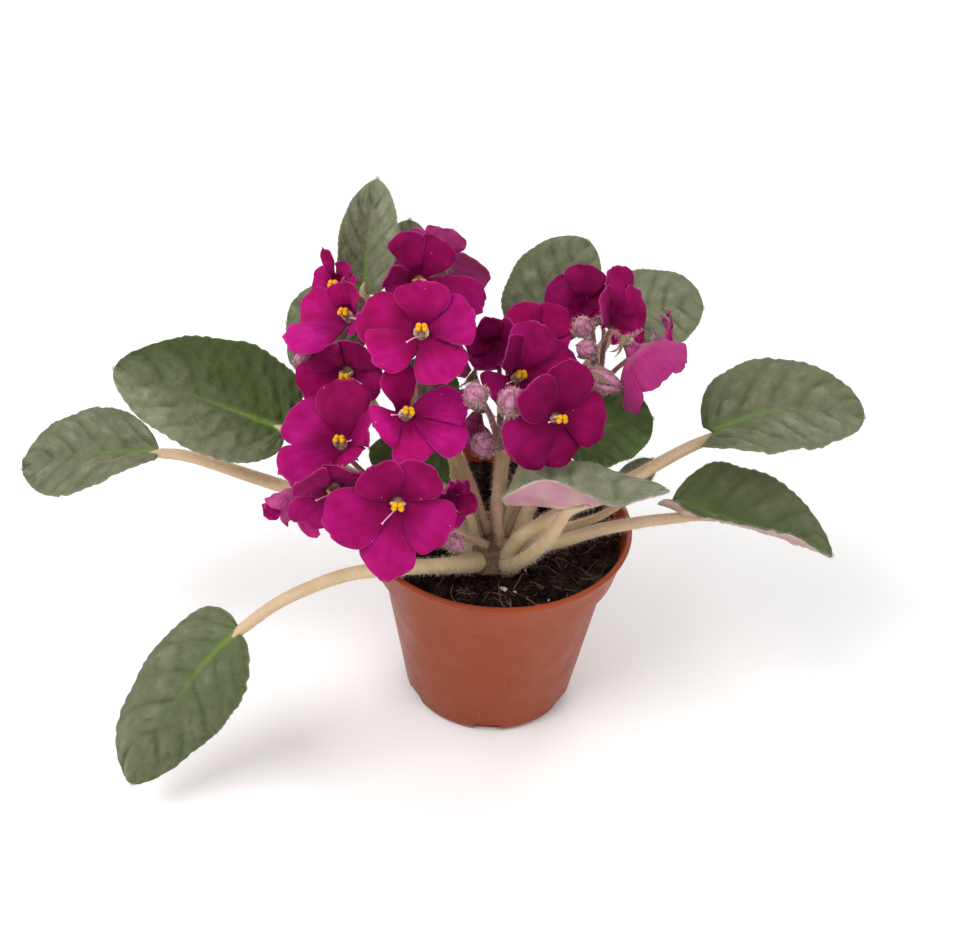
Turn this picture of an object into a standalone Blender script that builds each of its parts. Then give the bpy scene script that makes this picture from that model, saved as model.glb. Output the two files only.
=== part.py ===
"""African violet in bloom, growing in a round plastic nursery pot.

Units are metres, +Z is up, and the origin is the centre of the pot's flat base. +X is to the right
and +Y to the back. Sizes below are written in millimetres and turned into metres by MM.

Pieces: the pot, the potting soil, the crown with every leaf stalk grown from it, one blade for each
leaf, four flower sprays (stalks, calyces and buds), and for each flower its corolla of five joined
petals and its pair of anthers.
"""

import math
import random

import bpy
import numpy as np

MM = 0.001
GAP = 0.3

POT_HEIGHT = 70.6
POT_RIM_RADIUS = 45.0
POT_COLLAR_HEIGHT = 14.4
POT_COLLAR_FOOT_RADIUS = 41.1
POT_BODY_TOP_RADIUS = 38.5
POT_BASE_RADIUS = 29.7
POT_WALL = 1.2
POT_FLOOR = 1.8
POT_SIDES = 40
POT_FOOT_ROUNDING = ((2.5, 0.0), (0.7, 0.8), (-0.1, 2.6))
POT_LIP_ROUNDING = ((0.8, 1.9), (0.1, 1.3), (0.0, 0.6), (0.5, 0.0), (1.5, 0.0), (2.0, 0.6))
POT_COLLAR_LEDGE = 0.4
POT_COLLAR_ROUNDING = (0.1, 0.6)
POT_FLOOR_ROUNDING = (2.4, 1.4)
DRAIN_SLOTS = 6
DRAIN_SIZE = (5.0, 9.0, 5.2)
DRAIN_BELOW = 1.0

SOIL_TOP = 64.0
SOIL_DIP = 3.8
SOIL_RELIEF = 0.8
SOIL_RINGS = (0.3, 0.65)
SOIL_FOOT_ROUNDING = (2.0, 1.9)
SOIL_EDGE_ROUNDING = 0.8
SOIL_HOLE_DEPTH = 14.0
SOIL_SEED = 7

CROWN_CENTRE = (0.0, -8.0)
CROWN_RADIUS = 10.0
CROWN_TOP = 68.0
CROWN_SIDES = 12
CROWN_FOOT_BEVEL = (1.5, 3.0)
CROWN_SHOULDER = (1.0, 3.0)
CROWN_TOP_BEVEL = 3.5

STALK_FOOT_RADIUS = 2.7
STALK_END_RADIUS = 1.8
STALK_SIDES = 6
STALK_START = (6.0, 62.5)
STALK_EXTRA_STEPS = 3
STALK_END_GAP = 0.7
STALK_END_LOBE_SHARE = 0.1
STALK_BELOW = 0.5
STALK_BELOW_LOBES = 2.8
YOUNG_HALF_WIDTH = 11.0
YOUNG_STALK_SCALE = 0.72

BLADE_THICKNESS = 1.0
BLADE_ROWS = 9
BLADE_COLUMNS = (-1.0, -0.55, 0.0, 0.55, 1.0)
BLADE_WIDEST = 0.42
BLADE_FOOT_REACH = 0.426
BLADE_TIP_REACH = 0.585
BLADE_SCALLOP = 0.025
BLADE_KEEL = 0.8

PETAL_THICKNESS = 0.65
PETAL_ROWS = (0.0, 0.2, 0.5, 0.8, 1.0)
PETAL_COLUMNS = (-1.0, 0.0, 1.0)
PETAL_WIDEST = 0.64
PETAL_FOOT_WIDTH = 0.24
PETAL_SPREAD = 1.2
PETAL_FULLNESS = 1.07
PETAL_TIP_ROUND = 0.44
PETAL_TIP_CURVE = 0.16
PETAL_SIDE_BY_SIDE = 0.94
PETAL_LAPPED = 1.3
PETAL_LAP_LEAN = 26.0
THROAT_RADIUS = 3.0
THROAT_DIMPLE = -0.9
THROAT_BACK = (-3.0, 1.7)

ANTHER_SIDES = 6
ANTHER_RINGS = ((0.0, 0.8, 0.0), (1.8, 0.8, 0.0), (2.5, 1.75, 0.34), (3.9, 1.6, 0.34))
ANTHER_TIP = 4.6
ANTHER_SEAT = -0.2

CALYX_LENGTH = 3.0
CALYX_RADIUS = 1.9
CALYX_SHOULDER = 1.2
CALYX_FOOT_RIDGE = 1.3
CALYX_NOTCH = 0.9
SEPAL_REACH = 6.6
SEPALS = 5
PEDICEL_RADIUS = 0.75
PEDICEL_SIDES = 4
PEDICEL_STEPS = 4
PEDICEL_FOOT_SCALE = 1.1
PEDICEL_LEAVING = 0.45
PEDICEL_AIM = 0.55
PEDICEL_RISE = (0.0, 0.0, 0.25)
PEDICEL_ARRIVING = 0.3
PEDICEL_SUNK = 0.5
PEDUNCLE_RADIUS = 1.3
PEDUNCLE_STEPS = 6
PEDUNCLE_TAPER = 0.85
FORK_DEPTH = 1.0
BUD_RINGS = ((-0.36, 1.0, 1.12), (0.04, 0.94, 1.14), (0.36, 0.8, 0.62))
BUD_SEAT = 0.4

SIDE_HINT = (0.31, 0.17, 0.93)
SIDE_HINT_UPRIGHT = (1.0, 0.2, 0.0)
UPRIGHT = 0.9
PETAL_PLUMB = (0.0, 0.59, 0.81)
BUD_SIDE_HINT = (0.3, 1.0, 0.1)
SMOOTH_POT = 30
SMOOTH_STALK = 50
SMOOTH_BLADE = 60

COLOURS = {
    "pot_plastic": ((0.37, 0.098, 0.047), 0.42),
    "potting_soil": ((0.022, 0.013, 0.009), 0.95),
    "leaf_stalk": ((0.50, 0.31, 0.20), 0.6),
    "leaf_green": ((0.105, 0.155, 0.060), 0.6),
    "flower_stalk": ((0.26, 0.10, 0.10), 0.7),
    "petal_magenta": ((0.38, 0.008, 0.14), 0.5),
    "anther_yellow": ((0.85, 0.47, 0.02), 0.5),
}

# Each leaf: the stalk's points from the crown outward, the rib's base, middle and tip, the way the
# upper face looks at the foot and at the tip, the half width left and right of the rib (seen from the
# foot), how far each half folds up from the rib, in degrees, at the foot and at the tip (a hold keeps
# the foot's fold up to one share of the length and ends it at another), how far the two lobes beside
# the stalk reach back (swept lobes are full right up to the stalk), and how pointed the tip is.
LEAVES = {
    "leaf_blade_01": {
        "stalk": [(-35, -8, 74.5), (-70, -6, 84.5), (-90, -2, 88.5), (-104, 3, 88.5)],
        "rib": [(-112.7, 5.8, 87.5), (-138.1, 6.5, 84.4), (-158.5, 5.5, 78.3)],
        "face": [(0.07, -0.22, 0.97), (0.16, -0.32, 0.94)],
        "half": (19.9, 17.6),
        "fold": [(42, 17), (9, 9)],
        "lobe": (5.2, -3.5),
        "point": 0.39,
    },
    "leaf_blade_02": {
        "stalk": [(-32, -2, 78), (-52, -4, 92), (-62, -4, 100)],
        "rib": [(-69, -3, 105), (-94, 1, 112), (-123, 6, 119)],
        "face": [(0.1, -0.52, 0.85), (0.2, -0.45, 0.87)],
        "half": (18.0, 23.0),
        "fold": [(6, 10), (4, 4)],
        "lobe": (8, 10),
        "point": 0.25,
    },
    "leaf_blade_03": {
        "stalk": [(-18, -26, 71), (-31, -33, 75.5), (-44, -38, 76.5), (-56, -43, 75), (-66, -48, 72)],
        "rib": [(-77.1, -54.8, 66.2), (-94.5, -61.3, 46), (-110.8, -72.1, 15.2)],
        "face": [(-0.45, -0.47, 0.76), (0.3, -0.91, 0.28)],
        "half": (16.8, 18.0),
        "fold": [(6, 8), (-6, -29)],
        "lobe": (7, 3.7),
        "point": 0.11,
    },
    "leaf_blade_04": {
        "stalk": [(-16, 13, 84), (-31, 31, 108), (-43, 34, 127)],
        "rib": [(-47, 34, 135), (-46, 43, 151), (-44, 53, 166)],
        "face": [(-0.1, -0.88, 0.45), (0.0, -0.88, 0.45)],
        "half": (13.0, 14.0),
        "fold": [(46, 44), (46, 42)],
        "lobe": (4, 4),
        "point": 0.7,
    },
    "leaf_blade_05": {
        "stalk": [(-26, 3, 90), (-40, 9, 104)],
        "rib": [(-51, 19, 119), (-61, 26, 124.5), (-72, 31, 124)],
        "face": [(-0.2, -0.6, 0.74), (-0.2, -0.6, 0.74)],
        "half": (15.0, 17.0),
        "fold": [(4, 4), (4, 4)],
        "lobe": (4, 3),
    },
    "leaf_blade_06": {
        "stalk": [(-14, 12, 88), (-28, 34, 118)],
        "rib": [(-33, 43, 128), (-34, 51, 139), (-34, 60, 149)],
        "face": [(0.0, -0.8, 0.6), (0.0, -0.8, 0.6)],
        "half": (8.5, 8.5),
        "fold": [(6, 6), (6, 6)],
        "lobe": (3, 3),
    },
    "leaf_blade_07": {
        "stalk": [(1, 8, 92), (9, 18, 119)],
        "rib": [(9.5, 26, 128.5), (15.5, 40, 137.5), (26, 55, 146.5)],
        "face": [(0.14, -0.5, 0.85), (0.14, -0.6, 0.79)],
        "half": (15.0, 15.5),
        "fold": [(6, 8), (2, 2)],
        "lobe": (9, 8),
        "point": 0.2,
    },
    "leaf_blade_08": {
        "stalk": [(9, 8, 90), (24, 20, 114)],
        "rib": [(35, 30, 127), (49, 40, 131), (66, 49, 127)],
        "face": [(0.1, -0.6, 0.79), (0.2, -0.6, 0.77)],
        "half": (14.5, 14.5),
        "fold": [(4, 6), (2, 2)],
        "lobe": (4, 4),
    },
    "leaf_blade_09": {
        "stalk": [(6, -15.5, 74), (14, -15, 82), (32, -8, 89), (47, -2, 95), (60, 3, 101)],
        "rib": [(68, 6, 106), (91, 13, 111), (117, 14, 109)],
        "face": [(-0.1, -0.2, 0.98), (0.15, -0.25, 0.95)],
        "half": (20.0, 20.5),
        "fold": [(20, 20), (14, 8)],
        "lobe": (2, 7),
        "swept": True,
        "point": 0.2,
    },
    "leaf_blade_10": {
        "stalk": [(9, -12, 69), (20, -14, 73.5), (33, -14, 79.5), (46, -14, 83.5)],
        "rib": [(61.7, -11.4, 86.3), (80.9, -15.8, 85), (105.5, -21.8, 79.8)],
        "face": [(-0.03, -0.1, 0.99), (0.22, 0.08, 0.97)],
        "half": (22.6, 17.6),
        "fold": [(20, 82), (19, 38)],
        "hold": (-0.09, 0.26),
        "lobe": (6.9, 11.2),
        "swept": True,
        "point": 0.33,
    },
    "leaf_blade_11": {
        "stalk": [(5, -17.5, 66), (12, -22, 75), (16, -26.5, 85), (18.5, -30, 94)],
        "rib": [(22.8, -35.4, 105.3), (31.8, -34.9, 106.9), (49.2, -29.2, 107.4)],
        "face": [(-0.24, -0.47, 0.85), (-0.02, 0.06, 1)],
        "half": (17.9, 18.7),
        "fold": [(-3, 93), (-2, 43)],
        "hold": (0.21, 0.61),
        "lobe": (25.9, 23.9),
        "swept": True,
    },
    "leaf_blade_12": {
        "stalk": [(10, -6, 80), (15, -6, 96)],
        "rib": [(20, -5, 107), (33, -2, 111.5), (47, 2, 112.5)],
        "face": [(-0.1, -0.62, 0.78), (0.1, -0.62, 0.78)],
        "half": (14.0, 13.0),
        "fold": [(6, 6), (2, 2)],
        "lobe": (4, 4),
    },
    "leaf_blade_13": {
        "stalk": [(11, -7, 69), (22, -6, 73), (32, -4, 76)],
        "rib": [(39, -1, 80), (44, 4, 86), (50, 10, 91)],
        "face": [(-0.4, -0.5, 0.77), (-0.4, -0.5, 0.77)],
        "half": (6.0, 6.0),
        "fold": [(20, 20), (16, 16)],
        "lobe": (1, 1),
    },
    "leaf_blade_14": {
        "stalk": [(-9, -7.5, 76), (-15, -8, 83)],
        "rib": [(-19, -8, 89), (-29, -5, 95), (-42, -1, 98)],
        "face": [(-0.2, -0.55, 0.8), (-0.2, -0.5, 0.83)],
        "half": (9.5, 9.5),
        "fold": [(10, 10), (6, 6)],
        "lobe": (2, 2),
    },
    "leaf_blade_15": {
        "stalk": [(-8, 0, 78), (-17, 7, 95)],
        "rib": [(-21, 12, 103), (-25, 19, 109), (-31, 27, 114)],
        "face": [(-0.1, -0.6, 0.79), (-0.1, -0.6, 0.79)],
        "half": (10.0, 10.0),
        "fold": [(10, 10), (6, 6)],
        "lobe": (2, 2),
    },
}

# Petal layouts: for each petal its direction clockwise from the top, length, half width, lean
# towards the viewer, bend of the tip (all seen from the front), cup and place in the layers.
OPEN = [
    (-36, 15.5, 7.4, 18, -14, 0.10, 1.8),
    (36, 15.5, 7.4, 18, -14, 0.10, 0.9),
    (108, 18.5, 8.8, 8, -18, -0.08, 0.0),
    (180, 20.0, 8.6, 2, -22, -0.10, -0.9),
    (-108, 18.5, 8.8, 8, -18, -0.08, 0.0),
]
CUPPED = [
    (-36, 14.0, 6.0, 48, 14, 0.30, 1.6),
    (36, 14.0, 6.0, 48, 14, 0.30, 0.8),
    (108, 15.5, 6.4, 48, 14, 0.30, 0.0),
    (180, 16.0, 6.2, 46, 14, 0.30, -0.8),
    (-108, 15.5, 6.4, 48, 14, 0.30, 0.0),
]
BALLED = [
    (-30, 15.5, 7.0, 58, 40, 0.3, 1.6),
    (42, 15.0, 7.0, 58, 40, 0.3, 0.8),
    (112, 15.0, 7.0, 58, 40, 0.3, 0.0),
    (196, 23.0, 7.6, 16, -24, -0.12, -0.8),
    (-100, 15.5, 7.0, 58, 40, 0.3, 0.0),
]
FLOWER_01 = [
    (-68, 20.0, 9.2, 8, -18, -0.06, -0.9),
    (0, 16.0, 8.0, 18, -14, 0.08, 1.8),
    (69, 16.6, 8.2, 14, -14, 0.08, 0.9),
    (147, 17.5, 8.0, 8, -18, -0.08, 0.0),
    (-125, 17.6, 7.6, 20, -18, -0.06, 0.0),
]
FLOWER_02 = [
    (-20, 16.0, 6.8, 4, -12, 0.1, 1.8),
    (22, 15.0, 7.2, 4, -12, 0.1, 0.9),
    (110, 21.5, 6.8, 10, -16, -0.06, 0.0),
    (-112, 11.0, 6.0, 34, -16, 0.05, -0.9),
    (-58, 17.5, 8.4, 68, -14, 0.1, 0.0),
]
FLOWER_03 = [
    (-80, 17.5, 7.2, 10, -14, 0.06, 0.9),
    (-14, 11.5, 4.8, 48, -14, 0.1, 1.8),
    (42, 15.0, 5.6, 68, -14, 0.1, 0.9),
    (112, 9.5, 5.6, 50, -14, 0.0, 0.0),
    (-137, 22.0, 7.0, 42, -12, -0.04, -0.9),
]
FLOWER_04 = [
    (-15, 13.0, 2.6, 26, -10, 0.20, 1.8),
    (28, 8.5, 3.4, 24, -14, 0.10, 0.9),
    (100, 9.0, 4.2, 50, -16, 0.05, 0.0),
    (180, 9.0, 4.6, 40, -16, 0.0, -0.9),
    (-70, 9.5, 4.6, 12, -14, 0.0, 0.0),
]
FLOWER_05 = [
    (-33, 13.5, 7.6, 26, -16, 0.14, 1.8),
    (30, 14.5, 7.6, 26, -16, 0.14, 0.9),
    (103, 12.0, 7.0, 24, -18, 0.0, 0.0),
    (-171, 11.0, 6.4, 14, -20, -0.08, -0.9),
    (-111, 16.8, 7.6, 20, -20, -0.06, 0.0),
]
FLOWER_06 = [
    (-60, 19.2, 8.2, 10, -16, -0.06, 0.9),
    (-2, 20.0, 8.2, 14, -14, 0.06, 1.8),
    (94, 17.5, 8.8, 63, -14, 0.06, 0.0),
    (132, 11.0, 6.4, 46, -20, -0.06, 0.9),
    (-136, 22.0, 8.6, 30, -18, -0.08, 0.0),
]
FLOWER_07 = [
    (-24, 17.0, 5.8, 38, -14, 0.12, 1.8),
    (80, 19.2, 7.0, 8, -14, -0.06, 0.9),
    (106, 20.5, 7.8, 2, -16, -0.06, 0.0),
    (157, 14.8, 8.0, 2, -20, -0.08, -0.9),
    (-118, 10.5, 6.6, 4, -16, -0.08, 0.0),
]
FLOWER_08 = [
    (-42, 14.0, 7.4, 30, -16, 0.14, 1.8),
    (18, 12.5, 7.0, 24, -16, 0.14, 0.9),
    (92, 11.0, 6.6, 30, -20, 0.05, 0.0),
    (166, 12.0, 6.0, 14, -20, -0.08, -0.9),
    (-150, 16.6, 7.8, 13, -16, -0.06, 0.0),
]
FLOWER_09 = [
    (-33, 15.0, 7.0, 20, -14, 0.10, 1.8),
    (33, 15.4, 7.2, 18, -14, 0.10, 0.9),
    (122, 18.0, 8.2, 8, -16, -0.08, 0.0),
    (187, 24.5, 8.0, 2, -10, -0.10, -0.9),
    (-112, 22.0, 9.2, 6, -16, -0.06, 0.0),
]
FLOWER_11 = [
    (-60, 18.5, 7.8, 22, -14, 0.16, 1.8),
    (4, 18.2, 7.6, 20, -14, 0.1, 0.9),
    (88, 16.8, 8.2, 12, -16, -0.06, 0.0),
    (156, 15.6, 7.2, 4, -20, -0.08, -0.9),
    (-132, 18.5, 9.0, 6, -18, -0.08, 0.0),
]
FLOWER_12 = [
    (-48, 17.0, 6.4, 58, -14, 0.12, 1.8),
    (22, 18.5, 7.6, 24, -14, 0.1, 0.9),
    (72, 22.5, 8.6, 10, -16, -0.06, 0.0),
    (130, 14.0, 7.0, 6, -18, -0.08, -0.9),
    (-122, 12.0, 6.6, 12, -18, -0.08, 0.0),
]
FLOWER_13 = [
    (-60, 14.0, 6.4, 14, -16, 0.08, 0.9),
    (3, 14.0, 7.0, 12, -16, 0.08, 1.8),
    (64, 11.0, 5.6, 20, -16, 0.08, 0.0),
    (130, 7.0, 4.6, 50, -14, 0.08, -0.9),
    (-130, 7.0, 4.6, 50, -14, 0.08, 0.0),
]
FLOWER_14 = [
    (-3, 17.0, 7.2, 10, -14, 0.1, 1.8),
    (40, 13.0, 6.0, 24, -14, 0.1, 0.9),
    (84, 15.0, 7.2, 10, -16, 0.05, 0.0),
    (156, 8.0, 5.0, 44, -14, 0.05, -0.9),
    (-70, 14.0, 7.2, 36, -14, 0.1, 0.0),
]
FLOWER_15 = [
    (-112, 16.5, 8.6, 26, 60, 0.2, -0.8),
    (-58, 18.5, 8.8, 26, 60, 0.2, 0.2),
    (16, 14.0, 7.0, 26, 56, 0.2, 1.2),
    (146, 22.5, 5.6, 26, 56, 0.1, 0.8),
    (-170, 20.5, 8.4, 27, 46, 0.1, -0.2),
]

# Each flower: its spray, centre, azimuth and elevation of the way it faces (azimuth 0 looks to the
# front, 90 to the right), roll, size, petal layout, and for single petals a lean of their own with a
# share of the usual length.
FLOWERS = {
    "01": ("b", (-25.4, -16, 149.6), 5, 60, 0, 1.0, FLOWER_01, {}),
    "02": ("b", (-27.8, 12.5, 151.4), 0, 14, 0, 1.0, FLOWER_02, {}),
    "03": ("b", (-48.9, 5.8, 141.6), -42, 50, 0, 1.0, FLOWER_03, {}),
    "04": ("b", (-53.6, 20.5, 143.8), -30, 34, 0, 1.0, FLOWER_04, {}),
    "05": ("b", (-48.9, -0.8, 125.8), -8, 4, 0, 1.0, FLOWER_05, {}),
    "06": ("a", (-48.6, -22.6, 114.3), -10, 58, 0, 1.0, FLOWER_06, {}),
    "07": ("b", (-29.0, -26.5, 128.4), 30, 52, 0, 1.0, FLOWER_07, {}),
    "08": ("a", (-48.0, -44.8, 114.0), 4, -6, 0, 1.0, FLOWER_08, {}),
    "09": ("a", (-29.3, -52, 115.4), 4, 20, 0, 1.0, FLOWER_09, {}),
    "10": ("a", (-63.8, -28, 97.4), -40, -16, 0, 0.76, BALLED, {}),
    "11": ("c", (15, -24, 128), 30, 24, 0, 1.0, FLOWER_11, {}),
    "12": ("c", (3.2, -8, 131.2), 36, 48, 0, 1.0, FLOWER_12, {}),
    "13": ("d", (23.8, 22.2, 139.6), -16, 30, 0, 0.96, FLOWER_13, {}),
    "14": ("d", (32.4, 9.6, 142.9), 50, 30, 0, 0.96, FLOWER_14, {}),
    "15": ("d", (38.2, -1.4, 138.4), 72, -40, 0, 1.0, FLOWER_15, {}),
    "16": ("d", (51, 15.5, 133), 100, 20, 40, 0.6, OPEN, {3: (2, 0.5)}),
    "17": ("c", (-3.6, 8, 131.5), -14, 52, 20, 0.92, CUPPED, {}),
    "18": ("a", (-16.0, -26, 98.4), 40, 30, 0, 0.68, CUPPED, {}),
    "19": ("c", (-9, -5, 112.4), -30, -60, 0, 0.8, CUPPED, {}),
    "20": ("c", (9.4, 10.6, 132.4), 6, 54, 0, 0.9, OPEN, {2: (30, 0.6), 3: (60, 0.5), 4: (8, 0.6)}),
    "21": ("b", (-22.6, 29, 149.0), 160, 24, 0, 0.92, OPEN, {}),
    "22": ("b", (-14.0, 3.8, 126.4), -110, 30, 0, 0.8, CUPPED, {}),
}
WITHOUT_ANTHERS = ("10", "13", "14", "15", "16", "17", "18", "19", "20", "22")

# Each spray: the main stalk's points from the crown to the fork.
SPRAYS = {
    "a": [(-3, -12, 69.2), (-12, -15.5, 76), (-24, -21, 86), (-31, -26, 92)],
    "b": [(-3, -5.5, 69.2), (-10, -1, 88), (-18, 0, 104), (-27, -5, 118)],
    "c": [(1.5, -12, 69.2), (-1, -13.5, 89), (-1, -14, 110)],
    "d": [(3, -6, 69.2), (10, 0, 84), (22, 10, 100), (31, 17.5, 114)],
}

# Each bud: its spray, centre, the way it points, length and width. A bud whose stalk leaves a
# flower's stalk instead of the fork has that place in BUD_FORKS.
BUDS = {
    "1": ("d", (22.6, 5, 142.4), (-0.2, -0.4, 0.9), 8.0, 5.6),
    "2": ("d", (24, 2, 136.4), (-0.4, -0.7, 0.5), 7.6, 5.8),
    "3": ("d", (29.2, -6, 130.4), (0.85, -0.3, -0.2), 12.0, 6.6),
    "4": ("c", (1.4, -27, 135.0), (0.1, -0.3, 0.95), 10.0, 7.2),
    "5": ("c", (-9, -26, 136.2), (-0.5, -0.3, 0.8), 8.0, 6.2),
    "6": ("c", (-6, -19, 114), (-0.5, -0.5, 0.6), 8.0, 7.0),
    "7": ("b", (-62.6, 3.5, 126.4), (-0.3, -0.4, 0.84), 7.6, 5.8),
    "8": ("a", (-13, -27, 82), (0.5, -0.6, 0.3), 6.5, 5.0),
}
BUD_FORKS = {"7": (-45, 7, 123.6)}


def unit(vector):
    """The vector scaled to length one."""
    vector = np.asarray(vector, float)
    return vector / np.linalg.norm(vector)


def clear_scene():
    """Remove what the scene holds, so that the script can be run again."""
    for item in list(bpy.data.objects):
        bpy.data.objects.remove(item, do_unlink=True)


def make_material(name):
    """A plain material in the piece's colour."""
    colour, roughness = COLOURS[name]
    material = bpy.data.materials.new(name)
    material.use_nodes = True
    shader = material.node_tree.nodes["Principled BSDF"]
    shader.inputs["Base Color"].default_value = (*colour, 1.0)
    shader.inputs["Roughness"].default_value = roughness
    shader.inputs["Metallic"].default_value = 0.0
    return material


def make_object(name, shape, material, smooth_angle=None):
    """A mesh object from points in millimetres and faces."""
    points, faces = shape
    mesh = bpy.data.meshes.new(name)
    mesh.from_pydata([tuple(float(c) * MM for c in p) for p in points], [], faces)
    mesh.materials.append(material)
    if smooth_angle is not None:
        mesh.shade_smooth()
        mesh.set_sharp_from_angle(angle=math.radians(smooth_angle))
    item = bpy.data.objects.new(name, mesh)
    bpy.context.scene.collection.objects.link(item)
    return item


def fuse(name, shapes, material, smooth_angle):
    """One solid from closed shapes that grow into each other."""
    parts = bpy.data.collections.new(name + "_parts")
    bpy.context.scene.collection.children.link(parts)
    item = make_object(name, shapes[0], material)
    for index, shape in enumerate(shapes[1:]):
        part = make_object(f"{name}_part_{index}", shape, material)
        bpy.context.scene.collection.objects.unlink(part)
        parts.objects.link(part)
    union = item.modifiers.new("Union", "BOOLEAN")
    union.operation = "UNION"
    union.operand_type = "COLLECTION"
    union.collection = parts
    union.solver = "MANIFOLD"
    graph = bpy.context.evaluated_depsgraph_get()
    mesh = bpy.data.meshes.new_from_object(item.evaluated_get(graph))
    item.modifiers.clear()
    item.data = mesh
    mesh.name = name
    for part in list(parts.objects):
        bpy.data.objects.remove(part, do_unlink=True)
    bpy.data.collections.remove(parts)
    mesh.shade_smooth()
    mesh.set_sharp_from_angle(angle=math.radians(smooth_angle))
    return item


def loft(rings, start=None, end=None):
    """A closed shape through rings of points, closed by a point or a flat face at each end."""
    count = len(rings[0])
    points = [p for ring in rings for p in ring]
    faces = []
    for row in range(len(rings) - 1):
        for k in range(count):
            a = row * count + k
            b = row * count + (k + 1) % count
            faces.append((a, b, b + count, a + count))
    last = (len(rings) - 1) * count
    if start is None:
        faces.append(tuple(range(count - 1, -1, -1)))
    else:
        points.append(start)
        hub = len(points) - 1
        faces.extend((hub, (k + 1) % count, k) for k in range(count))
    if end is None:
        faces.append(tuple(last + k for k in range(count)))
    else:
        points.append(end)
        hub = len(points) - 1
        faces.extend((last + k, last + (k + 1) % count, hub) for k in range(count))
    return points, faces


def turned(profile, sides, centre=(0.0, 0.0)):
    """A turned shape from (radius, height) pairs whose first and last lie on the axis."""
    rings = []
    for radius, height in profile[1:-1]:
        ring = []
        for k in range(sides):
            angle = 2 * math.pi * k / sides
            ring.append((centre[0] + radius * math.cos(angle), centre[1] + radius * math.sin(angle), height))
        rings.append(ring)
    return loft(rings, (*centre, profile[0][1]), (*centre, profile[-1][1]))


def curve_through(points, count):
    """Evenly numbered points on a smooth curve through the given ones."""
    points = [np.asarray(p, float) for p in points]
    padded = [2 * points[0] - points[1]] + points + [2 * points[-1] - points[-2]]
    spans = len(points) - 1
    path = []
    for k in range(count + 1):
        place = spans * k / count
        span = min(int(place), spans - 1)
        t = place - span
        a, b, c, d = padded[span:span + 4]
        path.append(0.5 * (2 * b + (c - a) * t + (2 * a - 5 * b + 4 * c - d) * t * t
                           + (3 * b - a - 3 * c + d) * t ** 3))
    return path


def tube(path, foot_radius, end_radius, sides):
    """A tapering stalk along a path, with flat ends."""
    rings = []
    side = None
    for k, point in enumerate(path):
        ahead = unit(path[min(k + 1, len(path) - 1)] - path[max(k - 1, 0)])
        if side is None:
            side = unit(np.cross(ahead, SIDE_HINT if abs(ahead[2]) < UPRIGHT else SIDE_HINT_UPRIGHT))
        side = unit(side - ahead * np.dot(side, ahead))
        up = np.cross(ahead, side)
        radius = foot_radius + (end_radius - foot_radius) * k / (len(path) - 1)
        ring = []
        for j in range(sides):
            angle = 2 * math.pi * j / sides
            ring.append(point + radius * (math.cos(angle) * side + math.sin(angle) * up))
        rings.append(ring)
    return loft(rings)


def build_pot(material):
    """Thin-walled tapered pot with a deep collar, a rolled lip and drain slots at the foot."""
    collar_foot = POT_HEIGHT - POT_COLLAR_HEIGHT
    body_inner = POT_BODY_TOP_RADIUS - POT_WALL
    collar_out, collar_up = POT_COLLAR_ROUNDING
    floor_in, floor_up = POT_FLOOR_ROUNDING
    profile = [
        (0.0, 0.0),
        *((POT_BASE_RADIUS - inward, up) for inward, up in POT_FOOT_ROUNDING),
        (POT_BODY_TOP_RADIUS, collar_foot),
        (POT_COLLAR_FOOT_RADIUS - POT_COLLAR_LEDGE, collar_foot),
        (POT_COLLAR_FOOT_RADIUS + collar_out, collar_foot + collar_up),
        *((POT_RIM_RADIUS - inward, POT_HEIGHT - down) for inward, down in POT_LIP_ROUNDING),
        (POT_COLLAR_FOOT_RADIUS - POT_WALL, collar_foot + POT_WALL + POT_COLLAR_LEDGE),
        (body_inner, collar_foot + POT_WALL),
        (POT_BASE_RADIUS + collar_out - POT_WALL, POT_FLOOR + floor_up),
        (POT_BASE_RADIUS - floor_in, POT_FLOOR),
        (0.0, POT_FLOOR),
    ]
    pot = make_object("pot", turned(profile, POT_SIDES), material, SMOOTH_POT)

    half = [size / 2 for size in DRAIN_SIZE]
    corners = [(x, y) for x, y in ((-1, -1), (1, -1), (1, 1), (-1, 1))]
    points = []
    faces = []
    for k in range(DRAIN_SLOTS):
        angle = 2 * math.pi * (k + 0.5) / DRAIN_SLOTS
        cos, sin = math.cos(angle), math.sin(angle)
        first = len(points)
        for height in (-DRAIN_BELOW, DRAIN_SIZE[2] - DRAIN_BELOW):
            for x, y in corners:
                out = POT_BASE_RADIUS + x * half[0]
                across = y * half[1]
                points.append((out * cos - across * sin, out * sin + across * cos, height))
        faces.append(tuple(first + k for k in (3, 2, 1, 0)))
        faces.append(tuple(first + k for k in (4, 5, 6, 7)))
        faces.extend((first + k, first + (k + 1) % 4, first + 4 + (k + 1) % 4, first + 4 + k)
                     for k in range(4))
    cutter = make_object("drain_cutter", (points, faces), material)
    cutter.hide_render = True
    cutter.display_type = "WIRE"
    cut = pot.modifiers.new("Drain slots", "BOOLEAN")
    cut.operation = "DIFFERENCE"
    cut.object = cutter


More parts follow.
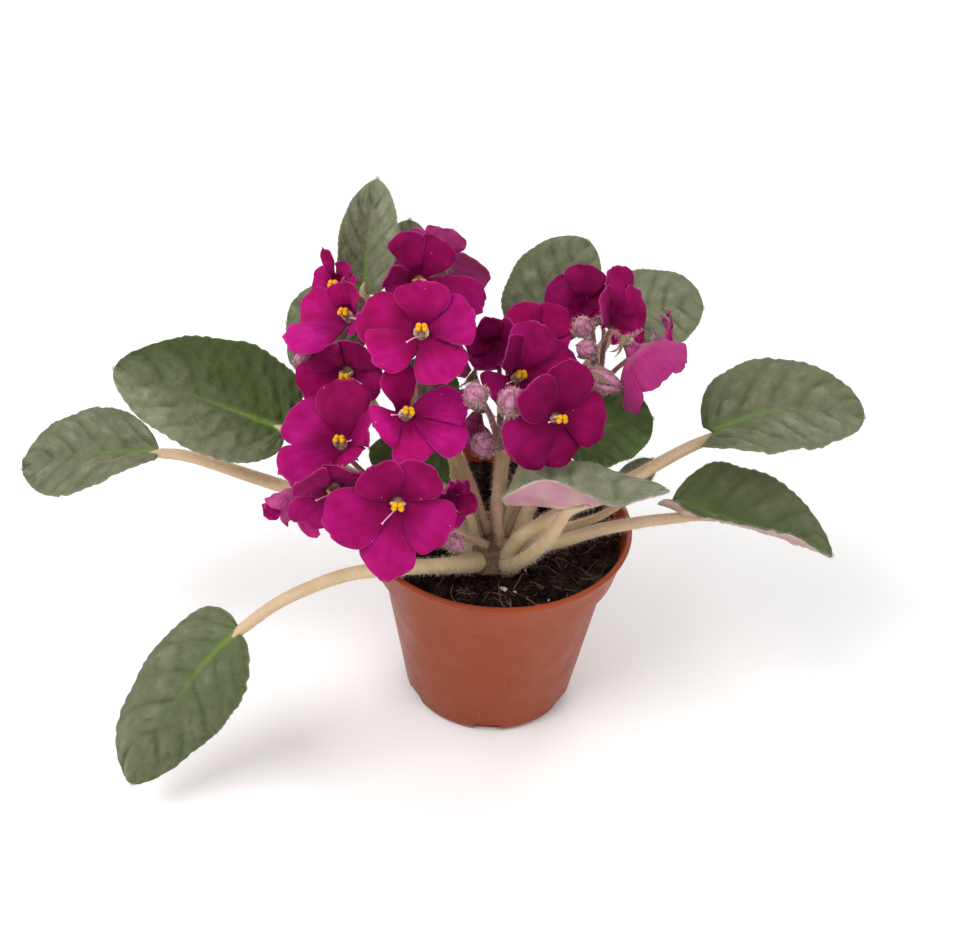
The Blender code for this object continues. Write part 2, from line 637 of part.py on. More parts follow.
def build_soil(material):
    """Soil that fills the pot, with an uneven top and a plain hole where the crown stands."""
    draw = random.Random(SOIL_SEED)
    collar_foot = POT_HEIGHT - POT_COLLAR_HEIGHT
    rise = (POT_RIM_RADIUS - POT_COLLAR_FOOT_RADIUS) / POT_COLLAR_HEIGHT
    inset = POT_WALL + GAP
    clear = inset + GAP / 2
    edge = POT_COLLAR_FOOT_RADIUS + rise * (SOIL_TOP - collar_foot) - inset - POT_LIP_ROUNDING[3][0]
    hole = CROWN_RADIUS + GAP
    foot_in, foot_up = SOIL_FOOT_ROUNDING
    side = [
        (POT_BASE_RADIUS - POT_WALL - foot_in, POT_FLOOR + GAP),
        (POT_BASE_RADIUS - inset, POT_FLOOR + GAP + foot_up),
        (POT_BODY_TOP_RADIUS - clear, collar_foot + inset),
        (POT_COLLAR_FOOT_RADIUS - clear, collar_foot + inset + POT_COLLAR_ROUNDING[1]),
        (edge, SOIL_TOP - SOIL_EDGE_ROUNDING),
    ]

    def ring_at(radius, height, share, rough):
        """A ring whose centre moves from the pot's axis (share 0) to the crown's (share 1)."""
        ring = []
        for k in range(POT_SIDES):
            angle = 2 * math.pi * k / POT_SIDES
            ring.append((share * CROWN_CENTRE[0] + radius * math.cos(angle),
                         share * CROWN_CENTRE[1] + radius * math.sin(angle),
                         height + rough * draw.uniform(-SOIL_RELIEF, SOIL_RELIEF)))
        return ring

    rings = [ring_at(radius, height, 0.0, 0.0) for radius, height in side]
    for share in SOIL_RINGS:
        radius = edge + (hole - edge) * share
        rings.append(ring_at(radius, SOIL_TOP - SOIL_DIP * share, share, 1.0))
    rings.append(ring_at(hole, SOIL_TOP - SOIL_DIP, 1.0, 0.0))
    rings.append(ring_at(hole, SOIL_TOP - SOIL_HOLE_DEPTH, 1.0, 0.0))
    bottom = (0.0, 0.0, side[0][1])
    floor = (*CROWN_CENTRE, SOIL_TOP - SOIL_HOLE_DEPTH)
    make_object("soil", loft(rings, bottom, floor), material)


def stalk_path(leaf):
    """The stalk's centre line, from inside the crown to just short of the blade."""
    base = np.asarray(leaf["rib"][0], float)
    ahead = unit(np.asarray(leaf["rib"][1], float) - base)
    below = unit(leaf["face"][0]) * (STALK_BELOW_LOBES if leaf.get("swept") else STALK_BELOW)
    end = base - ahead * (STALK_END_GAP + STALK_END_LOBE_SHARE * max(leaf["lobe"])) - below
    first = np.asarray(leaf["stalk"][0], float)
    centre = np.array((*CROWN_CENTRE, 0.0))
    out = first - centre
    out[2] = 0.0
    start = centre + unit(out) * STALK_START[0]
    start[2] = STALK_START[1]
    return curve_through([start, *leaf["stalk"], end], len(leaf["stalk"]) + STALK_EXTRA_STEPS)


def build_crown(material):
    """The short thick stem in the soil, with every leaf stalk grown from it."""
    foot = SOIL_TOP - SOIL_HOLE_DEPTH + GAP
    profile = [
        (0.0, foot),
        (CROWN_RADIUS - CROWN_FOOT_BEVEL[0], foot),
        (CROWN_RADIUS, foot + CROWN_FOOT_BEVEL[1]),
        (CROWN_RADIUS, SOIL_TOP - SOIL_DIP),
        (CROWN_RADIUS - CROWN_SHOULDER[0], CROWN_TOP - CROWN_SHOULDER[1]),
        (CROWN_RADIUS - CROWN_TOP_BEVEL, CROWN_TOP),
        (0.0, CROWN_TOP),
    ]
    shapes = [turned(profile, CROWN_SIDES, CROWN_CENTRE)]
    for leaf in LEAVES.values():
        size = YOUNG_STALK_SCALE if max(leaf["half"]) < YOUNG_HALF_WIDTH else 1.0
        shapes.append(tube(stalk_path(leaf), STALK_FOOT_RADIUS * size, STALK_END_RADIUS * size, STALK_SIDES))
    fuse("crown_and_leaf_stalks", shapes, material, SMOOTH_STALK)


def blade_point(leaf, t, u):
    """A point of the blade's middle sheet, t from foot to tip and u across, with the sheet's normal."""
    base, middle, tip = (np.asarray(p, float) for p in leaf["rib"])
    pull = 2 * middle - (base + tip) / 2
    point = (1 - t) ** 2 * base + 2 * t * (1 - t) * pull + t * t * tip
    ahead = unit(2 * (1 - t) * (pull - base) + 2 * t * (tip - pull))
    face = (1 - t) * unit(leaf["face"][0]) + t * unit(leaf["face"][1])
    side = unit(np.cross(ahead, face))
    normal = np.cross(side, ahead)
    reach = BLADE_FOOT_REACH if t < BLADE_WIDEST else BLADE_TIP_REACH
    square = max(0.0, 1 - ((t - BLADE_WIDEST) / reach) ** 2)
    point_share = leaf.get("point", 0.0) if t > BLADE_WIDEST else 0.0
    outline = (1 - point_share) * math.sqrt(square) + point_share * square
    hand = 1 if u > 0 else 0
    foot_fold, tip_fold = leaf["fold"][0][hand], leaf["fold"][1][hand]
    if "hold" in leaf:
        start, stop = leaf["hold"]
        eased = min(1.0, max(0.0, (t - start) / (stop - start)))
        held = 1 - eased * eased * (3 - 2 * eased)
    else:
        held = (1 - t) ** 3
    fold = math.radians(tip_fold + (foot_fold - tip_fold) * held)
    width = leaf["half"][hand] * outline * abs(u)
    sign = 1 if u > 0 else -1
    point = point + sign * side * width * math.cos(fold) + normal * width * math.sin(fold)
    if leaf.get("swept"):
        back = leaf["lobe"][hand] * abs(u) * (1 - t) ** 2
    else:
        back = leaf["lobe"][hand] * outline * abs(u) ** 3 * (1 - t) ** 3
    return point - ahead * back, normal * math.cos(fold) - sign * side * math.sin(fold) * abs(u)


def build_blade(name, leaf, material):
    """One leaf blade: a thin folded sheet with a scalloped edge and a keel under its rib."""
    rows = [0.5 - 0.5 * math.cos(math.pi * k / (BLADE_ROWS - 1)) for k in range(BLADE_ROWS)]
    top = []
    bottom = []
    across = len(BLADE_COLUMNS)
    for k, t in enumerate(rows):
        for u in BLADE_COLUMNS:
            edge = 1 + (BLADE_SCALLOP if k % 2 else -BLADE_SCALLOP) if abs(u) == 1 else 1
            point, normal = blade_point(leaf, t, u * edge)
            normal = unit(normal)
            keel = BLADE_KEEL * (1 - t) if u == 0 else 0.0
            top.append(point + normal * BLADE_THICKNESS / 2)
            bottom.append(point - normal * (BLADE_THICKNESS / 2 + keel))
    make_object(name, sheet(top, bottom, len(rows), across), material, SMOOTH_BLADE)


def sheet(top, bottom, rows, across):
    """A closed thin solid from two matching grids of points, split into triangles alike."""
    points = list(top) + list(bottom)
    shift = len(top)
    faces = []
    for row in range(rows - 1):
        for column in range(across - 1):
            a = row * across + column
            b, c, d = a + 1, a + across + 1, a + across
            if (row + column) % 2:
                halves = ((a, b, c), (a, c, d))
            else:
                halves = ((a, b, d), (b, c, d))
            for p, q, r in halves:
                faces.append((p, q, r))
                faces.append((shift + r, shift + q, shift + p))
    border = [column for column in range(across)]
    border += [row * across + across - 1 for row in range(1, rows)]
    border += [(rows - 1) * across + column for column in range(across - 2, -1, -1)]
    border += [row * across for row in range(rows - 2, 0, -1)]
    for k, a in enumerate(border):
        b = border[(k + 1) % len(border)]
        faces.append((a, shift + a, shift + b, b))
    return points, faces


def flower_axes(azimuth, elevation, roll):
    """Right, top and facing directions of a flower seen from its front."""
    a, e, r = (math.radians(v) for v in (azimuth, elevation, roll))
    facing = np.array((math.sin(a) * math.cos(e), -math.cos(a) * math.cos(e), math.sin(e)))
    plumb = np.array(PETAL_PLUMB)
    top = unit(plumb - facing * np.dot(plumb, facing))
    right = np.cross(top, facing)
    turned_top = math.cos(r) * top + math.sin(r) * right
    return np.cross(turned_top, facing), turned_top, facing


def half_gaps(layout):
    """Half the angle from each petal to its next neighbour on either side, in radians."""
    turns = [petal[0] % 360 for petal in layout]
    gaps = []
    for turn in turns:
        before = min((turn - other) % 360 for other in turns if other != turn)
        after = min((other - turn) % 360 for other in turns if other != turn)
        gaps.append((math.radians(before / 2), math.radians(after / 2)))
    return gaps


def petal_point(petal, gaps, size, t, v):
    """A point of a petal's middle sheet and its normal, in the flower's own right, top, facing."""
    turn, length, half, lean, bend, cup, layer = petal
    turn = math.radians(turn)
    out = np.array((math.sin(turn), math.cos(turn), 0.0))
    across = np.array((math.cos(turn), -math.sin(turn), 0.0))
    front = np.array((0.0, 0.0, 1.0))
    span = length * size - THROAT_RADIUS
    reach = t - PETAL_TIP_CURVE * t ** 3 * v * v
    start = math.radians(lean)
    rate = math.radians(bend)
    now = start + rate * reach
    distance = THROAT_RADIUS + span * (math.sin(now) - math.sin(start)) / rate
    rise = span * (math.cos(start) - math.cos(now)) / rate
    normal = math.cos(now) * front - math.sin(now) * out
    if t < PETAL_WIDEST:
        grown = math.sin(math.pi / 2 * t / PETAL_WIDEST) ** PETAL_SPREAD
        width = PETAL_FOOT_WIDTH + (1 - PETAL_FOOT_WIDTH) * grown
    else:
        width = math.sqrt(1 - ((t - PETAL_WIDEST) / PETAL_TIP_ROUND) ** 2)
    lapped = t > PETAL_ROWS[1] and abs(lean) < PETAL_LAP_LEAN
    room = distance * math.tan(gaps[1 if v > 0 else 0]) * (PETAL_LAPPED if lapped else PETAL_SIDE_BY_SIDE)
    width = min(width * half * size * PETAL_FULLNESS, room)
    point = out * distance + front * rise + across * width * v
    point = point + normal * (cup * width * v * v + layer * min(1.0, t / PETAL_ROWS[1]))
    return point, unit(normal - across * 2 * cup * v)


def flower_place(flower, local):
    """A point of the flower's own frame in the plant's frame."""
    right, top, facing = flower_axes(*flower[2:5])
    return np.asarray(flower[1], float) + right * local[0] + top * local[1] + facing * local[2]


def build_corolla(number, flower, material):
    """Five petals that grow out of the ring around a short throat, as one thin solid."""
    size, layout, changes = flower[5:8]
    petals = []
    for index, petal in enumerate(layout):
        lean, share = changes.get(index, (petal[3], 1.0))
        petals.append((petal[0], petal[1] * share, petal[2], lean, *petal[4:]))
    petals.sort(key=lambda petal: petal[0] % 360)
    gaps = half_gaps(petals)
    count = 2 * len(petals)
    bearings = []
    for petal, gap in zip(petals, gaps):
        bearings.extend((math.radians(petal[0]), math.radians(petal[0]) + gap[1]))
    points = []
    for height, radius in ((PETAL_THICKNESS / 2, THROAT_RADIUS), (-PETAL_THICKNESS / 2, THROAT_RADIUS),
                           THROAT_BACK):
        points.extend((radius * math.sin(b), radius * math.cos(b), height) for b in bearings)
    points.extend(((0.0, 0.0, THROAT_DIMPLE), (0.0, 0.0, THROAT_BACK[0])))
    faces = []
    for k in range(count):
        after = (k + 1) % count
        faces.append((3 * count, after, k))
        faces.append((count + k, count + after, 2 * count + after, 2 * count + k))
        faces.append((2 * count + k, 2 * count + after, 3 * count + 1))
    for index, (petal, gap) in enumerate(zip(petals, gaps)):
        foot = [(2 * index + step) % count for step in (-1, 0, 1)]
        upper = [foot]
        lower = [[count + k for k in foot]]
        for t in PETAL_ROWS[1:]:
            places = [petal_point(petal, gap, size, t, v) for v in PETAL_COLUMNS]
            for grid, side in ((upper, 0.5), (lower, -0.5)):
                grid.append([len(points) + k for k in range(len(places))])
                points.extend(point + normal * PETAL_THICKNESS * side for point, normal in places)
        faces.extend(petal_faces(upper, lower))
    points = [flower_place(flower, point) for point in points]
    make_object("corolla_" + number, (points, faces), material, SMOOTH_BLADE)


def petal_faces(upper, lower):
    """The faces of one petal between two grids of point numbers, open at its foot."""
    faces = []
    across = len(upper[0])
    for row in range(len(upper) - 1):
        for column in range(across - 1):
            corners = ((row, column), (row, column + 1), (row + 1, column + 1), (row + 1, column))
            order = ((0, 1, 2), (0, 2, 3)) if (row + column) % 2 else ((0, 1, 3), (1, 2, 3))
            for half in order:
                faces.append(tuple(upper[corners[k][0]][corners[k][1]] for k in half))
                faces.append(tuple(lower[corners[k][0]][corners[k][1]] for k in reversed(half)))
    last = len(upper) - 1
    border = [(row, across - 1) for row in range(len(upper))]
    border += [(last, column) for column in range(across - 2, -1, -1)]
    border += [(row, 0) for row in range(last - 1, -1, -1)]
    for (row, column), (next_row, next_column) in zip(border, border[1:]):
        faces.append((upper[row][column], lower[row][column],
                      lower[next_row][next_column], upper[next_row][next_column]))
    return faces


def build_anthers(number, flower, material):
    """Two joined anthers on their short filaments, just in front of the throat."""
    rings = []
    for height, radius, lobes in ANTHER_RINGS:
        ring = []
        for k in range(ANTHER_SIDES):
            angle = 2 * math.pi * k / ANTHER_SIDES
            reach = radius * (1 + lobes * math.cos(2 * angle))
            across, up = reach * math.cos(angle), reach * math.sin(angle)
            ring.append(flower_place(flower, (across, up, ANTHER_SEAT + height)))
        rings.append(ring)
    end = flower_place(flower, (0.0, 0.0, ANTHER_SEAT + ANTHER_TIP))
    make_object("anthers_" + number, loft(rings, None, end), material, SMOOTH_STALK)


def calyx(flower):
    """The cup behind a flower's throat, spread at its edge into narrow pointed sepals."""
    back = THROAT_BACK[0] - GAP
    rings = []
    for height, notch, point in ((back - CALYX_LENGTH, PEDICEL_RADIUS, PEDICEL_RADIUS * CALYX_FOOT_RIDGE),
                                 (back - CALYX_SHOULDER, CALYX_RADIUS, CALYX_RADIUS),
                                 (back, CALYX_RADIUS * CALYX_NOTCH, SEPAL_REACH)):
        ring = []
        for k in range(2 * SEPALS):
            angle = math.pi * k / SEPALS
            radius = point if k % 2 else notch
            ring.append(flower_place(flower, (radius * math.cos(angle), radius * math.sin(angle), height)))
        rings.append(ring)
    return loft(rings)


def pedicel(fork, end, heading):
    """The thin stalk from a fork to a flower or a bud, arriving along its heading."""
    fork, end = np.asarray(fork, float), np.asarray(end, float)
    span = np.linalg.norm(end - fork)
    leave = fork + (PEDICEL_AIM * unit(end - fork) + np.array(PEDICEL_RISE)) * span * PEDICEL_LEAVING
    arrive = end - unit(heading) * span * PEDICEL_ARRIVING
    path = []
    for k in range(PEDICEL_STEPS + 1):
        t = k / PEDICEL_STEPS
        path.append((1 - t) ** 3 * fork + 3 * t * (1 - t) ** 2 * leave
                    + 3 * t * t * (1 - t) * arrive + t ** 3 * end)
    return tube(path, PEDICEL_RADIUS * PEDICEL_FOOT_SCALE, PEDICEL_RADIUS, PEDICEL_SIDES)


def bud(centre, heading, length, width):
    """A closed bud, ribbed by the sepals laid against it."""
    heading = unit(heading)
    side = unit(np.cross(heading, BUD_SIDE_HINT))
    up = np.cross(heading, side)
    centre = np.asarray(centre, float)
    rings = []
    for place, furrow, ridge in BUD_RINGS:
        around = width / 2 * math.sqrt(1 - (2 * place) ** 2)
        ring = []
        for k in range(2 * SEPALS):
            angle = math.pi * k / SEPALS
            radius = around * (ridge if k % 2 else furrow)
            ring.append(centre + heading * length * place
                        + radius * (math.cos(angle) * side + math.sin(angle) * up))
        rings.append(ring)
    return loft(rings, centre - heading * length / 2, centre + heading * length / 2)


def build_spray(letter, material):
    """One flower spray: its stalk, the pedicels, the calyces behind its flowers and its buds."""
    route = SPRAYS[letter]
    path = curve_through(route, PEDUNCLE_STEPS)
    shapes = [tube(path, PEDUNCLE_RADIUS, PEDUNCLE_RADIUS * PEDUNCLE_TAPER, STALK_SIDES)]
    fork = path[-1] - unit(path[-1] - path[-2]) * FORK_DEPTH
    for flower in FLOWERS.values():
        if flower[0] != letter:
            continue
        facing = flower_axes(*flower[2:5])[2]
        end = flower_place(flower, (0, 0, THROAT_BACK[0] - GAP - CALYX_LENGTH + PEDICEL_SUNK))
        shapes.append(pedicel(fork, end, facing))
        shapes.append(calyx(flower))
    for name, (spray, centre, heading, length, width) in BUDS.items():
        if spray != letter:
            continue
        end = np.asarray(centre, float) - unit(heading) * length * BUD_SEAT
        shapes.append(pedicel(BUD_FORKS.get(name, fork), end, heading))
        shapes.append(bud(centre, heading, length, width))
    fuse("flower_spray_" + letter, shapes, material, SMOOTH_STALK)


def build():
    """Make every piece."""
    clear_scene()
    materials = {name: make_material(name) for name in COLOURS}
    build_pot(materials["pot_plastic"])
    build_soil(materials["potting_soil"])
    build_crown(materials["leaf_stalk"])
    for name, leaf in LEAVES.items():
        build_blade(name, leaf, materials["leaf_green"])
    for letter in SPRAYS:
        build_spray(letter, materials["flower_stalk"])
    for number, flower in FLOWERS.items():
        build_corolla(number, flower, materials["petal_magenta"])
        if number not in WITHOUT_ANTHERS:
            build_anthers(number, flower, materials["anther_yellow"])


build()
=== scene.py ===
"""Looks of an African violet in bloom in a round plastic nursery pot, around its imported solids.

Sizes are in millimetres, as in the part's own source, and MM turns them into metres. Only the camera,
the floor and the lamps are given in metres. The routes of leaves, petals, sprays and buds repeat the
part's own, so that every fine piece lies on its solid.
"""

import math

import bpy
import numpy as np
from mathutils import Matrix


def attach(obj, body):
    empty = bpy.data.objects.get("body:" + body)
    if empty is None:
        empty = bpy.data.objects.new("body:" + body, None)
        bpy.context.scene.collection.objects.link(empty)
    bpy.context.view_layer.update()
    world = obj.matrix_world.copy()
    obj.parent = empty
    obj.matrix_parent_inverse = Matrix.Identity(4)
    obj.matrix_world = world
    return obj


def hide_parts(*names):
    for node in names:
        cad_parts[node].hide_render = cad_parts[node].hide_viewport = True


MM = 0.001
FULL_TURN = 2 * math.pi

# The pot, and how deep, wide and high one of its drain slots is.
POT_HEIGHT = 70.6
POT_RIM_RADIUS = 45.0
POT_COLLAR_HEIGHT = 14.4
POT_COLLAR_FOOT_RADIUS = 41.1
POT_BODY_TOP_RADIUS = 38.5
POT_BASE_RADIUS = 29.7
POT_WALL = 1.2
POT_FLOOR = 1.8
POT_SIDES = 144
POT_CORNER = 0.45
POT_SHARP_ANGLE = 38
COLLAR_FOOT = POT_HEIGHT - POT_COLLAR_HEIGHT
DRAIN_SLOTS = 6
DRAIN_SIZE = (5.0, 9.0, 5.2)

# The soil. Sizes of crumbs and grains are from the smallest to the largest.
GAP = 0.3
SOIL_TOP = 64.0
SOIL_DIP = 3.8
SOIL_HOLE_DEPTH = 14.0
SOIL_ROUND = 200
SOIL_RINGS = 60
CRUMBS = 780
CRUMB_SIZES = (0.4, 2.0)
PERLITE = 26
PERLITE_SIZES = (0.5, 1.15)
FIBRES = 470
FIBRE_LENGTHS = (3, 13)
FIBRE_RADII = (0.17, 0.07)

# The crown and the leaf stalks.
CROWN_CENTRE = np.array((0.0, -8.0, 0.0))
CROWN_RADIUS = 10.0
CROWN_TOP = 68.0
CROWN_ROUND = 60
CROWN_CORNER = 2.0
STALK_FOOT_RADIUS = 2.7
STALK_END_RADIUS = 1.8
STALK_START = (6.0, 62.5)
STALK_END_GAP = 0.7
STALK_BELOW = 0.5
STALK_BELOW_LOBES = 2.8
YOUNG_HALF_WIDTH = 11.0
YOUNG_STALK_SCALE = 0.72
STALK_ROUND = 16
STALK_STEPS = 44

# The leaf blades, the depths of their relief, and how grey their bloom of hairs and painted light can get.
BLADE_ROWS = 72
BLADE_ACROSS = 47
BLADE_THICKNESS = 0.9
BLADE_WIDEST = 0.42
BLADE_FOOT_REACH = 0.426
BLADE_TIP_REACH = 0.581
BLADE_KEEL = 0.9
BLADE_TEETH = 19
BLADE_TOOTH = 0.010
BLADE_GROWN = 18.0
VEIN_PAIRS = 4
VEIN_SWEEP = 0.42
VEIN_SPAN = 0.86
QUILT_DEPTH = 1.5
VEIN_DEPTH = 0.42
RIB_DEPTH = 0.6
GRAIN_DEPTH = 0.42
WARP_DEPTH = 0.55
WAVE_DEPTH = 0.45
BLOOM_AND_PAINTED_LIGHT_LIMIT = 1.6

# The petals.
PETAL_ROWS = 25
PETAL_ACROSS = 15
PETAL_FOOT = 0.2
PETAL_THICKNESS = 0.5
PETAL_WIDEST = 0.64
PETAL_FOOT_WIDTH = 0.24
PETAL_SPREAD = 0.85
PETAL_FULLNESS = 1.07
PETAL_TIP_ROUND = 0.42
PETAL_SIDE_BY_SIDE = 1.12
PETAL_LAPPED = 1.45
PETAL_LAP_LEAN = 26.0
PETAL_SHADE = 0.45
THROAT_RADIUS = 3.0
THROAT_BACK = -3.0
THROAT_BACK_RADIUS = 1.7
THROAT_ROUND = 30

# The stamens, calyces, buds and stalks of the sprays.
ANTHER_SEAT = -0.2
ANTHER_SIZE = (0.98, 1.42, 0.98)
FILAMENT_RADII = (0.62, 0.42)
STYLE_RADII = (0.22, 0.17)
STIGMA_RADIUS = 0.34
CALYX_LENGTH = 3.0
CALYX_RADIUS = 1.9
SEPALS = 5
SEPAL_REACH = 6.6
SEPAL_WIDTH = 2.1
PEDICEL_RADIUS = 0.75
PEDUNCLE_RADIUS = 1.3
FORK_DEPTH = 1.0

# Hairs: how many to a square millimetre of leaf or bud, to a point of a leaf's edge or to a millimetre
# of stalk or sepal, and the length and width of one. A sepal has them on its back (-1) and front (1).
LEAF_HAIR_DENSITY = 1.35
LEAF_HAIR = (0.55, 0.030)
UNDERLEAF_HAIR_DENSITY = 0.75
UNDERLEAF_HAIR = (0.8, 0.040)
FRINGE_HAIRS = 6
FRINGE_HAIR = (1.0, 0.045)
STALK_HAIR_DENSITY = 25
STALK_HAIR = (1.3, 0.055)
PEDUNCLE_HAIR_DENSITY = 20
PEDICEL_HAIR_DENSITY = 15
SPRAY_HAIR = (1.0, 0.075)
SEPAL_HAIRS = ((-1, 8, (1.1, 0.075)), (1, 5, (1.0, 0.075)))
BUD_HAIR_DENSITY = 5
BUD_HAIR = (0.9, 0.07)

# Where the random draws of each kind of piece start.
SOIL_SEED = 11
STALK_SEED = 23
LEAF_SEED = 100
LEAF_HAIR_SEED = 300
FLOWER_SEED = 500
STAMEN_SEED = 700
SPRAY_SEED = 900

# The camera, worked out from the pot's round lip and foot in the photograph, the floor and the light,
# with places and sizes in metres, the sensor in millimetres and angles in degrees.
PHOTO_WIDTH = 953
CAMERA_SENSOR = 36.0
CAMERA_FOCAL_PIXELS = 1309.1
CAMERA_DOWN = 36.3
CAMERA_ROLL = 2.71
CAMERA_PLACE = (-0.0076, -0.3428, 0.3401)
PLANT_MIDDLE = (0.0, 0.0, 0.10)
WORLD_LIGHT = 0.75
FLOOR_REACH = 6.0
FLOOR_HEIGHT = -0.0002

# Each lamp: its name, place, size and power.
LAMPS = [
    ("key", (-0.55, -0.45, 1.05), 0.7, 9.0),
    ("fill", (0.9, -0.9, 0.6), 1.0, 4.0),
    ("back", (0.3, 1.0, 0.9), 0.9, 5.0),
]


def unit(vectors):
    """The vectors scaled to length one."""
    vectors = np.asarray(vectors, float)
    return vectors / np.maximum(np.linalg.norm(vectors, axis=-1, keepdims=True), 1e-12)


def smooth(value):
    """A soft step from 0 to 1."""
    value = np.clip(value, 0.0, 1.0)
    return value * value * (3 - 2 * value)


def hump(value, width):
    """A soft hump of height one where the value is nought, low beyond the width."""
    return np.exp(-(value / width) ** 2)


def ripple(points, size, seed, octaves=3):
    """Seeded smooth unevenness from about -1 to 1 at points, its largest waves of the given size."""
    draw = np.random.default_rng(seed)
    total = np.zeros(points.shape[:-1])
    share, sum_of_shares = 1.0, 0.0
    for octave in range(octaves):
        for _ in range(7):
            wave = unit(draw.normal(size=3)) * 2 * math.pi / size * 2 ** octave * draw.uniform(0.7, 1.3)
            total += share * np.sin(points @ wave + draw.uniform(0, FULL_TURN))
        sum_of_shares += share
        share *= 0.5
    return total / (2.6 * sum_of_shares)


class Shape:
    """Points, faces, the material of each face and named values of each point, gathered in parts."""

    def __init__(self):
        self.points = []
        self.faces = []
        self.slots = []
        self.values = []
        self.count = 0

    def add(self, points, faces, slot=0, **values):
        """Add a part. Its faces are arrays of point numbers, all with the same number of corners."""
        points = np.asarray(points, float).reshape(-1, 3)
        for group in faces if isinstance(faces, list) else [faces]:
            self.faces.append(np.asarray(group, int) + self.count)
            self.slots.append(slot if np.ndim(slot) else np.full(len(group), slot))
        self.points.append(points)
        self.values.append({name: np.broadcast_to(np.ravel(value), (len(points),)).astype(np.float32)
                            for name, value in values.items()})
        self.count += len(points)

    def add_round(self, grid, slot=0, flip=False, **values):
        """Add a grid of points that wraps round, its faces looking the other way if flipped."""
        faces = grid_faces(*grid.shape[:2], True)
        values = {name: np.broadcast_to(value, grid.shape[:2]) for name, value in values.items()}
        self.add(grid, faces[:, ::-1] if flip else faces, slot, **values)

    def build(self, name, materials, replaced=(), slot=None):
        """Make the piece, let it ride on the root body, and hide the parts that it replaces."""
        points = np.concatenate(self.points) * MM
        corners = np.concatenate([group.ravel() for group in self.faces])
        sizes = np.concatenate([np.full(len(group), group.shape[1]) for group in self.faces])
        mesh = bpy.data.meshes.new(name)
        mesh.vertices.add(len(points))
        mesh.vertices.foreach_set("co", points.ravel().astype(np.float32))
        mesh.loops.add(len(corners))
        mesh.loops.foreach_set("vertex_index", corners.astype(np.int32))
        mesh.polygons.add(len(sizes))
        mesh.polygons.foreach_set("loop_start", (np.cumsum(sizes) - sizes).astype(np.int32))
        for material in materials:
            mesh.materials.append(material)
        mesh.polygons.foreach_set("material_index", np.concatenate(self.slots).astype(np.int32))
        mesh.polygons.foreach_set("use_smooth", np.ones(len(sizes), bool))
        for key in sorted({key for values in self.values for key in values}):
            data = [values.get(key, np.zeros(len(part), np.float32))
                    for values, part in zip(self.values, self.points)]
            mesh.attributes.new(key, "FLOAT", "POINT").data.foreach_set("value", np.concatenate(data))
        mesh.update(calc_edges=True)
        mesh.validate()
        item = bpy.data.objects.new(name, mesh)
        bpy.context.scene.collection.objects.link(item)
        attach(item, "root")
        if replaced:
            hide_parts(*replaced)
        return item


def grid_faces(rows, across, wrap=False):
    """The quads of a grid of points numbered row by row."""
    row = np.arange(rows - 1)[:, None]
    column = np.arange(across if wrap else across - 1)[None, :]
    a = row * across + column
    b = row * across + (column + 1) % across
    return np.stack([a, b, b + across, a + across], -1).reshape(-1, 4)


def end_caps(rows, around):
    """The triangles that close a wrapped grid's two ends with the two points that follow it."""
    step = np.arange(around)
    after = (step + 1) % around
    last = (rows - 1) * around
    hub = rows * around
    return np.concatenate([np.stack([np.full(around, hub), after, step], -1),
                           np.stack([last + step, last + after, np.full(around, hub + 1)], -1)])


def closed(grid):
    """A wrapped grid with its first column again at its end."""
    return np.concatenate([grid, grid[:, :1]], 1)


def turned_grid(profile, around):
    """The grid of points of a turned shape, from its (radius, height) pairs."""
    angle = FULL_TURN * np.arange(around) / around
    radius, height = np.array(profile, float).T[..., None]
    return np.stack([radius * np.cos(angle), radius * np.sin(angle), np.repeat(height, around, 1)], -1)


def ball_grid(rows, around, pole=0.02):
    """The grid of points of a ball of radius one whose poles lie on its third axis."""
    polar = np.linspace(pole, math.pi - pole, rows)
    return turned_grid(np.stack([np.sin(polar), np.cos(polar)], 1), around)


def turn_upright(angle):
    """The matrix that turns rows of points about the upright axis."""
    cosine, sine = math.cos(angle), math.sin(angle)
    return np.array([[cosine, sine, 0], [-sine, cosine, 0], [0, 0, 1]])


def rounded(profile, radius, steps):
    """The profile with each inner corner replaced by a small curve."""
    profile = np.array(profile, float)
    result = [profile[0]]
    for before, corner, after in zip(profile, profile[1:], profile[2:]):
        reach = min(radius, np.linalg.norm(before - corner) * 0.45, np.linalg.norm(after - corner) * 0.45)
        start, end = corner + unit(before - corner) * reach, corner + unit(after - corner) * reach
        for t in np.linspace(0, 1, steps + 1):
            result.append((1 - t) ** 2 * start + 2 * t * (1 - t) * corner + t * t * end)
    return [*result, profile[-1]]


def curve_through(points, count):
    """Evenly numbered points on a smooth curve through the given ones."""
    points = [np.asarray(point, float) for point in points]
    padded = np.array([2 * points[0] - points[1], *points, 2 * points[-1] - points[-2]])
    spans = len(points) - 1
    place = np.linspace(0, spans, count + 1)
    span = np.minimum(place.astype(int), spans - 1)
    t = (place - span)[:, None]
    a, b, c, d = (padded[span + k] for k in range(4))
    return 0.5 * (2 * b + (c - a) * t + (2 * a - 5 * b + 4 * c - d) * t * t
                  + (3 * b - a - 3 * c + d) * t ** 3)


def bezier(a, b, c, d, count):
    """Points on a cubic curve with those four control points."""
    a, b, c, d = np.array([a, b, c, d], float)
    t = np.linspace(0, 1, count + 1)[:, None]
    return (1 - t) ** 3 * a + 3 * t * (1 - t) ** 2 * b + 3 * t * t * (1 - t) * c + t ** 3 * d


def headings(path):
    """The directions ahead along a path, or along each column of a grid."""
    return unit(np.gradient(path, axis=0))


def square_to(path, direction):
    """The direction at each point of a path, with what runs along the path taken out."""
    ahead = headings(path)
    return unit(direction - ahead * (ahead @ direction)[:, None])


